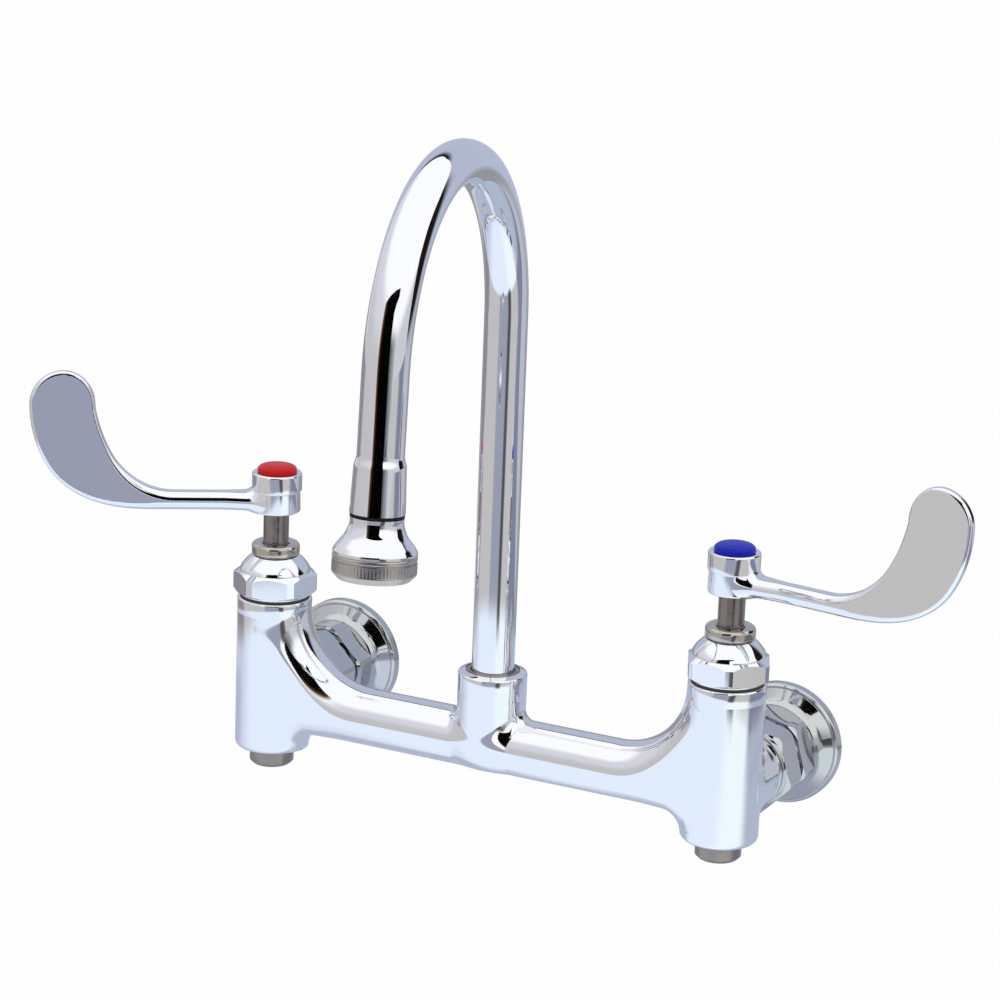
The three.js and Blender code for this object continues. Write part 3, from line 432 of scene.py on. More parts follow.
# The body casting.
casting = {
    "barrelRadius": 15.4, "barrelTop": 43.3, "barrelBottom": -21.75, "barrelBore": 12.4, "bottomRound": 2.5,
    "barRadius": 11.7, "barDrop": 1.2,
    "flareAbove": 30, "flareBelow": 8, "flareSide": 20,
    "flareStart": 14.5,  # half the flare's width at the valve's axis
    "barrelFillet": 1.2,
    "flareEdge": 2.5,  # how much tighter the edges are rounded at the barrel
    "bossRadius": 13.9, "bossTop": 28.6, "bossFoot": -10.5, "bossFootRound": 9,
    "bossFillet": 4, "bossBore": 11.1,
    "armRadius": 16,
    "armEnd": 23.2,  # past the valve's axis
    "armBore": 10.9, "armFlareAbove": 5.8, "armFlareBelow": 4.8, "armFillet": 1.5,
    "cell": 0.78,
}


def quarterRise(distance, radius):
    into = np.clip(radius - distance, 0, radius)
    return radius - np.sqrt(radius ** 2 - into ** 2)


def ovalDistance(across, along, halfAcross, halfAlong):
    u, v = across / halfAcross, along / halfAlong
    reach = np.maximum(np.hypot(u, v), 1e-6)
    slope = np.hypot(u / halfAcross, v / halfAlong) / reach
    return (reach - 1) / np.maximum(slope, 1e-6)


def castingField(points):
    x, y, z = points[:, 0], points[:, 1] + faucet["wallToAxis"], points[:, 2]
    c = casting
    fromValve = faucet["inletCentres"] / 2 - np.abs(x)
    fromBarrel = np.hypot(fromValve, y) - c["barrelRadius"]
    outside = np.maximum(fromBarrel, 0)

    lift = z + c["barDrop"]
    flush = 1 - smooth(fromValve / c["flareSide"])
    side = c["barRadius"] + (c["flareStart"] - c["barRadius"]) * flush
    above = c["barRadius"] + quarterRise(outside, c["flareAbove"])
    below = c["barRadius"] + quarterRise(outside, c["flareBelow"])
    edge = c["barRadius"] - c["flareEdge"] * (1 - smooth((fromValve - 12) / 25))
    bar = roundedBox(np.abs(y) - side, np.maximum(lift - above, -lift - below), edge)
    bar = np.maximum(bar, -fromValve)

    middle = (c["barrelTop"] + c["barrelBottom"]) / 2
    half = (c["barrelTop"] - c["barrelBottom"]) / 2
    barrel = roundedBox(fromBarrel, np.abs(z - middle) - half, c["bottomRound"])

    widen = np.clip(y / 10, 0, 1)
    armSide = c["barrelRadius"] - 0.05 + (c["armRadius"] - c["barrelRadius"] + 0.05) * widen
    armAbove = c["armRadius"] + quarterRise(outside, c["armFlareAbove"])
    armBelow = c["armRadius"] + quarterRise(outside, c["armFlareBelow"])
    arm = ovalDistance(fromValve, z, armSide, np.where(z > 0, armAbove, armBelow))
    arm = np.maximum(arm, np.maximum(-y, y - c["armEnd"] + 0.5))

    fromBoss = np.hypot(x, y) - c["bossRadius"]
    bossMiddle = (c["bossTop"] + c["bossFoot"]) / 2
    bossHalf = (c["bossTop"] - 0.5 - c["bossFoot"]) / 2
    boss = roundedBox(fromBoss, np.abs(z - bossMiddle) - bossHalf, c["bossFootRound"])
    boss = np.minimum(boss, np.maximum(fromBoss, np.maximum(z - c["bossTop"] + 0.5, -z)))
    bar = rounder(bar, boss, c["bossFillet"])
    return rounder(bar, rounder(barrel, arm, c["armFillet"]), c["barrelFillet"])


def castingRim(bore, foot, radius, top, fillet, boreTop):
    outside = radius + faucet["proud"]
    return turnedRing((bore, foot), (radius - 1, foot), (outside, foot + 5), (outside, top, fillet),
                      (bore, boreTop))


def bodyCasting():
    c = casting
    margin = 2.0
    reach = faucet["inletCentres"] / 2 + c["armRadius"] + margin
    low = (-reach, -faucet["wallToAxis"] - c["barrelRadius"] - margin, c["barrelBottom"] - margin)
    high = (reach, -faucet["wallToAxis"] + c["armEnd"] + margin, c["barrelTop"] + margin)
    points, faces = surfaceOf(castingField, low, high, c["cell"])
    normals = normalsOf(castingField, points)
    makePiece("bodyCasting", [(points, faces)], castChrome, normals=normals)
    barrelRim = castingRim(c["barrelBore"], 32, c["barrelRadius"], c["barrelTop"], 1, c["barrelTop"])
    armRim = castingRim(c["armBore"], 12, c["armRadius"], c["armEnd"], 1, c["armEnd"])
    bossRim = castingRim(c["bossBore"], 14, c["bossRadius"], c["bossTop"], 0.8, 29.5)
    rims = [placed(bossRim, upright(0))]
    for side in sides.values():
        rims.append(placed(barrelRim, upright(side["x"])))
        rims.append(placed(armRim, lying(side["x"], -faucet["wallToAxis"])))
    makePiece("castingRims", rims, castChrome, node="body_casting")


bodyCasting()
print("body casting made")


# The two valves.
bonnet = {
    "gasketBottom": 43.4, "gasketTop": 44.2, "gasketRadius": 14.5, "collarRadius": 14.6,
    "hexBottom": 45.3, "hexTop": 54.5, "flats": 31.2, "corner": 17.2,
    "domeBase": 14.6, "domeNeck": 9.6, "domeTop": 60.8,
}
packingNut = {"bottom": 60.9, "top": 66.1, "radius": 9.9, "sink": 6.4, "shoulder": 3}
stem = {"radius": 5.24, "foot": 34, "top": 79.2, "spigot": 4.4, "spigotTop": 86}


def bonnetPiece(side):
    b = bonnet
    turn = sides[side]["bonnetTurn"]
    hexShell = hexSkin(b["flats"], b["corner"], b["hexBottom"], b["hexTop"], 1.4, 2.6, 0.75, 8, turn)
    edge, foot, top = b["collarRadius"], b["gasketTop"] + 0.1, b["hexBottom"] + 1
    collar = turnedRing((8, foot), (edge, foot, 0.3), (edge, top), (8, top))
    dome = [(0, b["hexTop"] - 3), (b["domeBase"] - 0.4, b["hexTop"] - 3)]
    steps = 16
    for i in range(steps + 1):
        angle = pi / 2 * i / steps
        rise = 0.4 * sin(angle) + 0.6 * (1 - cos(angle))
        radius = b["domeNeck"] + (b["domeBase"] - b["domeNeck"]) * cos(angle)
        dome.append((radius, b["hexTop"] - 0.2 + (b["domeTop"] - b["hexTop"] + 0.2) * rise))
    domeShell = turned(dome + [(0, b["domeTop"])])
    makePiece(f"{side}Bonnet", [hexShell, collar, domeShell], nutChrome, valveAxis[side])


def bonnetGasket(side):
    bottom, top, edge = bonnet["gasketBottom"], bonnet["gasketTop"], bonnet["gasketRadius"]
    ring = turnedRing((12.7, bottom), (edge, bottom, 0.25), (edge, top, 0.25), (12.7, top))
    makePiece(f"{side}BonnetGasket", [ring], packingFibre, valveAxis[side])


def packingNutPiece(side):
    # A drum with an undercut foot, a rounded shoulder and a countersunk hole for the stem.
    n = packingNut
    foot, top, edge, bore = n["bottom"], n["top"], n["radius"], stem["radius"] + 0.3
    nut = turnedRing(
        (8.2, foot), (edge - 0.9, foot, 0.2), (edge - 0.7, foot + 0.5, 0.2), (edge, foot + 0.9, 0.3),
        (edge, top, n["shoulder"]), (n["sink"], top, 0.3), (bore, top - 0.8, 0.1), (bore, foot + 2),
        (8.2, foot + 2),
    )
    makePiece(f"{side}PackingNut", [nut], nutNickel, valveAxis[side])


def stemPiece(side):
    s = stem
    shaft = turned(softened([
        (0, s["foot"]), (s["radius"], s["foot"], 0.4), (s["radius"], s["top"], 0.3), (s["spigot"], s["top"]),
        (s["spigot"], s["spigotTop"]), (0, s["spigotTop"]),
    ]), faucet["smallSides"])
    makePiece(f"{side}Stem", [shaft], stemNickel, valveAxis[side], f"{side}_handle")


for side in sides:
    bonnetPiece(side)
    bonnetGasket(side)
    packingNutPiece(side)
    stemPiece(side)
print("valves made")


# The wrist levers.
lever = {
    "hubBottom": 79.3, "hubRadius": 9.75, "hubHeight": 16.6, "hubBore": 4.9,
    "collarRadius": 10.25, "collarHeight": 7.8,
    "reach": 100.34,
    "armCentre": 4.5, "armHeight": 7.7, "armThickness": 9, "armLength": 42,
    "bladeTop": 58, "bladeWidth": 28.2, "bladeThickness": 4,
    "innerFull": 82,  # where along the sweep, in degrees, each edge reaches the blade's full width
    "outerFull": 62, "innerLean": 1.7,
    "edgeRound": 1.45, "rootFillet": 4,
    "cell": 0.62,
}
button = {"radius": 8, "seat": 13.7, "height": 6.1}
# The lever's quarter oval sweep ends where the blade's round end starts.
endRadius = lever["bladeWidth"] / 2
endStart = lever["bladeTop"] - endRadius
bladeMiddle = lever["reach"] - endRadius
sweepWide, sweepTall = bladeMiddle - lever["armLength"], endStart - lever["armCentre"]


def leverOutline():
    # The lever's outline in its own upright plane: a level arm, a quarter oval sweep and a round end.
    e = lever
    upper, lower = [], []
    for share in np.linspace(0, 1, 12, endpoint=False):
        upper.append((e["armLength"] * share, e["armCentre"] + e["armHeight"] / 2))
        lower.append((e["armLength"] * share, e["armCentre"] - e["armHeight"] / 2))
    for angle in np.linspace(0, pi / 2, 60):
        sine, cosine = sin(angle), cos(angle)
        spine = np.array([e["armLength"] + sweepWide * sine, e["armCentre"] + sweepTall * (1 - cosine)])
        along = np.array([sweepWide * cosine, sweepTall * sine])
        across = np.array([-along[1], along[0]]) / np.linalg.norm(along)
        for edge, way, full in ((upper, 1, e["innerFull"]), (lower, -1, e["outerFull"])):
            widen = float(smooth(angle / radians(full)))
            half = (e["armHeight"] + (e["bladeWidth"] - e["armHeight"]) * widen) / 2
            edge.append(tuple(spine + across * half * way))
    end = []
    for angle in np.linspace(0, pi, 40)[1:-1]:
        end.append((bladeMiddle + endRadius * cos(angle), endStart + endRadius * sin(angle)))
    outline = np.array(lower + end + upper[::-1])
    # The blade's inner edge leans outwards on its way up.
    lean = smooth((outline[:, 1] - 24) / 21) * np.clip((bladeMiddle + 4 - outline[:, 0]) / 18, 0, 1)
    outline[:, 0] += e["innerLean"] * lean
    return outline


def distanceTo(outline, x, z):
    nearest = np.full(x.shape, 1e9)
    inside = np.zeros(x.shape, bool)
    for first, second in zip(outline, np.roll(outline, -1, 0)):
        edge = second - first
        across, up = x - first[0], z - first[1]
        share = np.clip((across * edge[0] + up * edge[1]) / max(edge @ edge, 1e-9), 0, 1)
        nearest = np.minimum(nearest, np.hypot(across - edge[0] * share, up - edge[1] * share))
        spans = (first[1] > z) != (second[1] > z)
        crossing = first[0] + edge[0] * up / (edge[1] if edge[1] else 1e-9)
        inside ^= spans & (x < crossing)
    return np.where(inside, -nearest, nearest)


# The distance to the outline is worked out once on a fine grid, and read off it smoothly.
gridStart, gridCell = np.array([-16.0, -8.0]), 0.4
gridX, gridZ = [start + gridCell * np.arange(n) for start, n in zip(gridStart, (310, 190))]
outlineGrid = distanceTo(leverOutline(), *np.meshgrid(gridX, gridZ, indexing="ij"))


def outlineDistance(x, z):
    place = (np.stack([x, z]) - gridStart[:, None]) / gridCell
    corner = np.clip(np.floor(place).astype(int), 1, np.array(outlineGrid.shape)[:, None] - 3)
    share = place - corner
    weights = [-share * (share - 1) * (share - 2) / 6, (share + 1) * (share - 1) * (share - 2) / 2,
               -(share + 1) * share * (share - 2) / 2, (share + 1) * share * (share - 1) / 6]
    total = np.zeros(x.shape)
    for i, j in itertools.product(range(4), repeat=2):
        total += weights[i][0] * weights[j][1] * outlineGrid[corner[0] + i - 1, corner[1] + j - 1]
    return total


def leverField(points):
    x, y, z = points.T
    e = lever
    across, down = np.maximum(x - e["armLength"], 0), np.maximum(endStart - z, 1e-6)
    sweep = np.arctan2(across / sweepWide, down / sweepTall)
    thin = smooth(sweep / radians(64))
    half = e["armThickness"] / 2 * (1 - thin) + e["bladeThickness"] / 2 * thin
    half = half + 1.6 * (1 - smooth((x - 8) / 16))
    edge = 3.7 * (1 - thin) + e["edgeRound"] * thin
    plate = roundedBox(outlineDistance(x, z), np.abs(y) - half, edge)
    plate = np.maximum(plate, -x)
    middle = e["hubHeight"] / 2
    hub = roundedBox(np.hypot(x, y) - e["hubRadius"] + 0.3, np.abs(z - middle) - middle + 0.6, 1)
    return rounder(plate, hub, e["rootFillet"])


def hubShell():
    e = lever
    step = e["hubHeight"] - e["collarHeight"]
    socket = button["radius"] + 0.3
    return turnedRing(
        (e["hubBore"], 0), (e["hubRadius"] + 0.1, 0, 0.9), (e["hubRadius"] - 0.2, step, 0.15),
        (e["collarRadius"], step + 0.35, 0.3), (e["collarRadius"], e["hubHeight"], 0.9),
        (socket, e["hubHeight"], 0.35), (socket, button["seat"]), (e["hubBore"], button["seat"]),
    )


def buttonShell():
    radius, floor = button["radius"], button["seat"] + 0.1
    top = floor + button["height"]
    return turned(softened([
        (0, floor), (radius, floor), (radius, top - 1.7, 0.7), (radius * 0.86, top - 0.75, 1.5),
        (radius * 0.5, top - 0.16, 6), (0, top),
    ]))


def leverPieces():
    e = lever
    edge = e["hubRadius"] + 3
    high = (e["reach"] + 2, edge, e["bladeTop"] + 2)
    points, faces = surfaceOf(leverField, (-edge, -edge, -2), high, e["cell"], 4)
    normals = normalsOf(leverField, points)
    for side, plastic in (("hot", redPlastic), ("cold", bluePlastic)):
        turn = Matrix.Rotation(radians(sides[side]["leverTurn"]), 4, "Z")
        place = upright(sides[side]["x"], e["hubBottom"]) @ turn
        body, node = f"{side}_handle", f"{side}_wrist_lever"
        makePiece(f"{side}LeverArm", [(points, faces)], leverChrome, place, body, node, normals)
        makePiece(f"{side}LeverHub", [hubShell()], leverChrome, place, body, node)
        makePiece(f"{side}IndexButton", [buttonShell()], plastic, place, body)


leverPieces()
print("levers made")


# The stops under the barrels.
stop = {
    "capRadius": 9.2, "top": -21.85, "height": 7.5, "recess": 5.6, "recessDepth": 3,
    "spigot": 8, "spindle": 3,
    "headHeight": 1.8, "slotWidth": 1.2, "slotDepth": 1.2,
    "collarRadius": 4.8, "collarHeight": 1.6, "threadRadius": 2,
    "threadEnd": 10.2,  # above the collar's foot
}


def halfHead(radius, cut, bottom, top, bevel):
    # One side of a slotted head: the part of a disc beyond the slot.
    count = 32
    points = []
    for size, height in ((radius - bevel, bottom), (radius, bottom + bevel), (radius, top)):
        start = asin(cut / size)
        angles = np.linspace(start, pi - start, count)
        points.append(np.stack([size * np.cos(angles), size * np.sin(angles), np.full(count, height)], 1))
    faces = [tuple(reversed(range(count))), tuple(range(2 * count, 3 * count))]
    for low, i in itertools.product((0, count), range(count)):
        j = (i + 1) % count
        faces.append((low + i, low + j, low + count + j, low + count + i))
    return np.concatenate(points), faces


def stopPieces(side):
    s = stop
    bottom, edge, bore = s["top"] - s["height"], s["capRadius"], s["spindle"] + 0.3
    ledge = bottom + s["recessDepth"]
    cap = turnedRing(
        (bore, ledge), (s["recess"], ledge), (s["recess"], bottom, 0.3), (edge - 1.3, bottom, 0.3),
        (edge, bottom + 1.3, 0.6), (edge, s["top"], 0.3), (bore, s["top"]),
    )
    makePiece(f"{side}StopCap", [cap], stemNickel, valveAxis[side])
    head = ledge - s["headHeight"]
    floor = head + s["slotDepth"]
    collar = s["top"] + s["spigot"] + 0.1
    collarTop, end = collar + s["collarHeight"], collar + s["threadEnd"]
    shaft = turned(softened([
        (0, floor), (s["spindle"], floor), (s["spindle"], collar), (s["collarRadius"], collar, 0.2),
        (s["collarRadius"], collarTop, 0.2), (s["threadRadius"], collarTop), (s["threadRadius"], end, 0.3),
        (0, end),
    ]), faucet["smallSides"])
    half = halfHead(s["spindle"], s["slotWidth"] / 2, head, floor + 0.05, 0.3)
    halves = [placed(half, Matrix.Rotation(angle, 4, "Z")) for angle in (0, pi)]
    makePiece(f"{side}StopSpindle", [shaft, *halves], machinedBrass, valveAxis[side], f"{side}_stop_screw")


for side in sides:
    stopPieces(side)
print("stops made")


# The unions and the wall flanges.
union = {
    "flats": 34.9, "corner": 19.6,
    "nut": (39.8, 27.2),  # how far off the wall its ends are
    "flangeHex": (24.2, 14.4),
    "collar": 16.5, "collarBore": 12, "bore": 10.9,
    "flangeRadius": 25.2, "rim": 3,
    "socket": 10.2, "socketDepth": 15, "threadPitch": 1.814, "threadDepth": 0.9,
}


def socketThread():
    # The pipe thread in the back of the flange: one groove that winds in from a plain mouth.
    u = union
    count, perTurn, mouth = faucet["roundSides"], 8, 0.02
    rows = int(u["socketDepth"] / u["threadPitch"] * perTurn)
    outer = u["socket"] + u["threadDepth"] + 0.5
    rings = [[(outer, -u["socketDepth"])] * count, [(outer, -mouth)] * count]
    for row in range(rows + 1):
        depth = mouth + (u["socketDepth"] - mouth) * row / rows
        full = u["threadDepth"] * float(smooth((depth - 0.4) / 1.2))
        phases = [(depth / u["threadPitch"] - i / count) % 1 for i in range(count)]
        rings.append([(u["socket"] + full * (1 - abs(2 * phase - 1)), -depth) for phase in phases])
    points, faces = [], []
    for row, ring in enumerate(rings):
        low, high = row * count, (row + 1) % len(rings) * count
        for i, (radius, height) in enumerate(ring):
            j = (i + 1) % count
            points.append(around(radius, 2 * pi * i / count, height))
            faces.append((low + i, low + j, high + j, high + i))
    return np.array(points), faces


def unionPieces(side):
    u = union
    turn = sides[side]["unionTurn"]
    place = lying(sides[side]["x"], 0)
    front, back = u["nut"]
    nut = hexSkin(u["flats"], u["corner"], -front, -back, 1.8, 1.0, 0.7, u["bore"], turn)
    makePiece(f"{side}CouplingNut", [nut], unionChrome, place)
    collarEnd, bore = -back + 0.3, u["collarBore"]
    front, back = u["flangeHex"]
    hexShell = hexSkin(u["flats"], u["corner"], -front, -back + 1, 1.2, 0, 0.7, bore, turn)
    foot = u["flats"] / 2 - 0.2
    edge, rim, socket = u["flangeRadius"], u["rim"], u["socket"] + u["threadDepth"] + 0.3
    dish = turnedRing(
        (bore, collarEnd), (u["collar"], collarEnd, 0.3), (u["collar"], -front + 1), (foot, -front + 1),
        (foot, -8.2, 5.2), (edge - 1.9, -rim - 1.9, 0.3), (edge - 1.7, -rim - 1.5, 0.1),
        (edge - 1.2, -rim - 1.9, 0.4), (edge, -rim - 1, 0.8), (edge, 0, 0.2), (socket, 0),
        (socket, -u["socketDepth"]), (bore, -u["socketDepth"]), steps=8,
    )
    makePiece(f"{side}InletFlange", [hexShell, dish, socketThread()], unionChrome, place)


for side in sides:
    unionPieces(side)
print("unions made")


# The pieces grown by Geometry Nodes.
def joined(tree, *parts):
    join = addNode(tree, "GeometryNodeJoinGeometry")
    for part in parts:
        tree.links.new(part, join.inputs[0])
    return join.outputs[0]


def changed(tree, geometry, way, **amounts):
    # Moves (Translation) or stretches (Scale) a shape along X, Y and Z.
    return made(tree, "GeometryNodeTransform", {
        "Geometry": geometry, way: made(tree, "ShaderNodeCombineXYZ", amounts),
    })


def circleCurve(tree, resolution, radius):
    return made(tree, "GeometryNodeCurvePrimitiveCircle", {"Resolution": resolution, "Radius": radius})


def ribShape(tree, size):
    # Upright ribs with rounded backs, evenly round a circle.
    circle = made(tree, "GeometryNodeMeshCircle", {"Vertices": size["Count"], "Radius": size["Radius"]})
    ring = changed(tree, circle, "Translation", Z=size["Height"])
    rod = made(tree, "GeometryNodeMeshCylinder", {"Vertices": 10, "Radius": 0.5, "Depth": size["Length"]})
    rib = changed(tree, rod, "Scale", X=size["Depth"], Y=size["Width"], Z=1.0)
    place = made(tree, "GeometryNodeInputPosition")
    out = made(tree, "ShaderNodeVectorMath", {0: place, 1: (1, 1, 0)}, operation="MULTIPLY")
    turn = made(tree, "FunctionNodeAlignRotationToVector", {"Vector": out}, axis="X", pivot_axis="Z")
    return made(tree, "GeometryNodeInstanceOnPoints", {"Points": ring, "Instance": rib, "Rotation": turn})


def tubeShape(tree, size):
    # A tube up the riser, round the arch and down the leg, where it widens to the outlet. Each ring's
    # place follows from its way along the tube.
    riser = calc(tree, "SUBTRACT", size["Arch Height"], size["Foot"])
    arch = calc(tree, "MULTIPLY", size["Bend"], size["Arch Radius"])
    beforeLeg = calc(tree, "ADD", riser, arch)
    whole = made(tree, "ShaderNodeCombineXYZ", {"Z": calc(tree, "ADD", beforeLeg, size["Leg"])})
    line = made(tree, "GeometryNodeCurvePrimitiveLine", {"End": whole})
    spine = made(tree, "GeometryNodeResampleCurve", {"Curve": line, "Count": size["Rings"]})
    way = addNode(tree, "GeometryNodeSplineParameter").outputs["Length"]
    onLeg = calc(tree, "MAXIMUM", calc(tree, "SUBTRACT", way, beforeLeg), 0.0)
    onArch = calc(tree, "MINIMUM", calc(tree, "MAXIMUM", calc(tree, "SUBTRACT", way, riser), 0.0), arch)
    angle = calc(tree, "DIVIDE", onArch, size["Arch Radius"])
    sine, cosine = calc(tree, "SINE", angle), calc(tree, "COSINE", angle)
    across = calc(tree, "MULTIPLY", size["Arch Radius"], calc(tree, "SUBTRACT", 1.0, cosine))
    across = calc(tree, "MULTIPLY_ADD", onLeg, sine, across)
    height = calc(tree, "ADD", size["Foot"], calc(tree, "MINIMUM", way, riser))
    height = calc(tree, "MULTIPLY_ADD", size["Arch Radius"], sine, height)
    height = calc(tree, "MULTIPLY_ADD", onLeg, cosine, height)
    end = size["Swage End"]
    flared = ranged(tree, onLeg, (end, size["Leg"]), (size["Swage Radius"], size["Mouth Radius"]))
    radius = ranged(tree, onLeg, (size["Swage Start"], end), (size["Radius"], flared), "SMOOTHSTEP")
    sized = made(tree, "GeometryNodeSetCurveRadius", {"Curve": spine, "Radius": radius})
    place = made(tree, "ShaderNodeCombineXYZ", {"X": across, "Z": height})
    bent = made(tree, "GeometryNodeSetPosition", {"Geometry": sized, "Position": place})
    return made(tree, "GeometryNodeCurveToMesh", {
        "Curve": bent, "Profile Curve": circleCurve(tree, size["Sides"], 1.0),
        "Scale": made(tree, "GeometryNodeInputRadius"), "Fill Caps": True,
    })


def sprayShape(tree, size):
    # A disc with a middle hole and two rings of holes, each with a rounded lip on its underside.
    places = made(tree, "GeometryNodeMeshLine", {"Count": 1})
    for ring in (1, 2):
        reach = calc(tree, "MULTIPLY", size["Pitch"], float(ring))
        holes = made(tree, "GeometryNodeMeshCircle", {"Vertices": 6 * ring, "Radius": reach})
        places = joined(tree, places, holes)
    hole = circleCurve(tree, 24, size["Hole"])
    holes = made(tree, "GeometryNodeInstanceOnPoints", {"Points": places, "Instance": hole})
    drilled = made(tree, "GeometryNodeRealizeInstances", {"Geometry": holes})
    outline = joined(tree, circleCurve(tree, 128, size["Radius"]), drilled)
    sheet = made(tree, "GeometryNodeFillCurve", {"Curve": outline})
    under = made(tree, "GeometryNodeFlipFaces", {"Mesh": sheet})
    upper = made(tree, "GeometryNodeExtrudeMesh", {
        "Mesh": sheet, "Offset Scale": size["Thickness"], "Individual": False,
    })
    both = joined(tree, under, upper)
    disc = made(tree, "GeometryNodeMergeByDistance", {"Geometry": both, "Distance": 0.001})
    lip = made(tree, "GeometryNodeCurveToMesh", {
        "Curve": circleCurve(tree, 24, calc(tree, "ADD", size["Hole"], size["Lip"])),
        "Profile Curve": circleCurve(tree, 12, size["Lip"]),
    })
    lips = made(tree, "GeometryNodeInstanceOnPoints", {"Points": places, "Instance": lip})
    return changed(tree, joined(tree, disc, lips), "Translation", Z=size["Bottom"])


def grown(name, shape, material, sizes, place, node=None):
    # Grows a piece of the spout: builds a Geometry Nodes tree with the sizes as its named inputs, runs
    # it on an empty mesh, and keeps what it makes as a plain piece.
    tree = bpy.data.node_groups.new(name, "GeometryNodeTree")
    for label, size in sizes.items():
        kind = "NodeSocketInt" if isinstance(size, int) else "NodeSocketFloat"
        tree.interface.new_socket(label, in_out="INPUT", socket_type=kind)
    tree.interface.new_socket("Geometry", in_out="OUTPUT", socket_type="NodeSocketGeometry")
    grownShape = shape(tree, addNode(tree, "NodeGroupInput").outputs)
    real = made(tree, "GeometryNodeRealizeInstances", {"Geometry": grownShape})
    smoothed = made(tree, "GeometryNodeSetShadeSmooth", {"Geometry": real, "Shade Smooth": True})
    painted = made(tree, "GeometryNodeSetMaterial", {"Geometry": smoothed, "Material": material})
    addNode(tree, "NodeGroupOutput", {"Geometry": painted})
    holder = bpy.data.objects.new(name + "Tree", bpy.data.meshes.new(name + "Tree"))
    bpy.context.collection.objects.link(holder)
    modifier = holder.modifiers.new("grow", "NODES")
    modifier.node_group = tree
    for item in tree.interface.items_tree:
        if item.in_out == "INPUT":
            modifier[item.identifier] = sizes[item.name]
    bpy.context.view_layer.update()
    evaluated = holder.evaluated_get(bpy.context.evaluated_depsgraph_get())
    mesh = bpy.data.meshes.new_from_object(evaluated)
    holder.modifiers.remove(modifier)
    bpy.data.objects.remove(holder)
    mesh.name = name
    mesh.transform(place)
    mesh.transform(Matrix.Scale(metresPerMm, 4))
    mesh.set_sharp_from_angle(angle=radians(faucet["sharpAngle"]))
    keepPiece(name, mesh, "spout", node)


# The spout.
spout = {
    "tubeRadius": 8.6, "spread": 141.3, "archTop": 254.02, "bend": 174.9,
    "swivel": 9.24, "seam": 131.5, "foot": 20.0,
    "swageRadius": 9.5, "mouthRadius": 10.1, "swageLength": 17, "swageBlend": 4.5,
    "rings": 620, "sides": 96,
}
retainer = {"bore": 8.9, "radius": 10.85, "foot": 23.6, "shoulder": 29.38, "lip": 9.3, "top": 29.93}
gasket = {"bore": 8.8, "radius": 9.9, "half": 0.5}
spoutTurn = upright(0) @ Matrix.Rotation(radians(spout["swivel"] - 90), 4, "Z")
archRadius = spout["spread"] / 2
archHeight = spout["archTop"] - spout["tubeRadius"] - archRadius
bend = radians(spout["bend"])
bendEnd = Vector((archRadius * (1 - cos(bend)), archHeight + archRadius * sin(bend)))
legWay = Vector((sin(bend), cos(bend)))
legLength = (bendEnd.y - spout["seam"]) / -legWay.y
legEnd = bendEnd + legWay * legLength
roseTurn = spoutTurn @ Matrix.Translation((legEnd.x, 0, legEnd.y)) @ Matrix.Rotation(bend - pi, 4, "Y")


def gooseneck():
    s = spout
    swageEnd = legLength - s["swageLength"]
    grown("gooseneckTube", tubeShape, tubeChrome, {
        "Rings": s["rings"], "Sides": s["sides"], "Radius": s["tubeRadius"], "Foot": s["foot"],
        "Arch Height": archHeight, "Arch Radius": archRadius, "Bend": bend, "Leg": legLength - 0.65,
        "Swage Radius": s["swageRadius"], "Mouth Radius": s["mouthRadius"],
        "Swage Start": swageEnd - s["swageBlend"], "Swage End": swageEnd,
    }, spoutTurn, "gooseneck")


def swivelRetainer():
    # The ring in the top of the boss that holds the spout in.
    r = retainer
    bore, edge = r["bore"], r["radius"]
    ring = turnedRing((bore, r["foot"]), (edge, r["foot"], 0.2), (edge, r["shoulder"], 0.25),
                      (r["lip"], r["top"], 0.3), (bore, 29.5, 0.1))
    makePiece("swivelRetainer", [ring], stemNickel, upright(0))


def outletGasket():
    bore, edge, half = gasket["bore"], gasket["radius"], gasket["half"]
    ring = turnedRing((bore, -half), (edge, -half, 0.4), (edge, half, 0.4), (bore, half))
    makePiece("outletGasket", [ring], blackRubber, roseTurn, "spout")


rose = {
    "neckRadius": 9.7, "bore": 8.6,
    "bell": [  # how far below the seam, and the radius there
        (0.7, 9.9), (2.4, 9.75), (4.5, 10.15), (7.4, 11.35), (9.4, 12.8), (11, 14.1), (12.2, 14.85),
    ],
    "bellRadius": 15.3, "bellLength": 14,
    "ringRadius": 15.35, "ringBore": 11.7, "ringBottom": 23.2, "ringBevelStart": 20, "ringMouth": 13.2,
    "ribs": 76, "ribHeight": 0.08, "ribWidth": 0.9,
}
spray = {"top": -19.2, "radius": 13.87, "thickness": 1.6, "pitch": 4.18, "hole": 0.7, "lip": 0.28}


def roseBody():
    r = rose
    skirt, foot = r["bellRadius"] - 0.6, -r["bellLength"]
    outline = [(13, foot - 2), (skirt, foot - 2), (skirt, foot)]
    outline += softened([(skirt, foot), (r["bellRadius"], foot, 0.1), (r["bellRadius"], -12.9, 1),
                         (r["bell"][-1][1], -r["bell"][-1][0])])[1:-1]
    outline += curveThrough([(radius, -below) for below, radius in reversed(r["bell"])], 8)
    outline += [(r["neckRadius"], -0.65), (r["bore"], -0.65), (r["bore"], -8), (13, foot - 2)]
    makePiece("roseBody", [turned(outline)], tubeChrome, roseTurn, "spout")


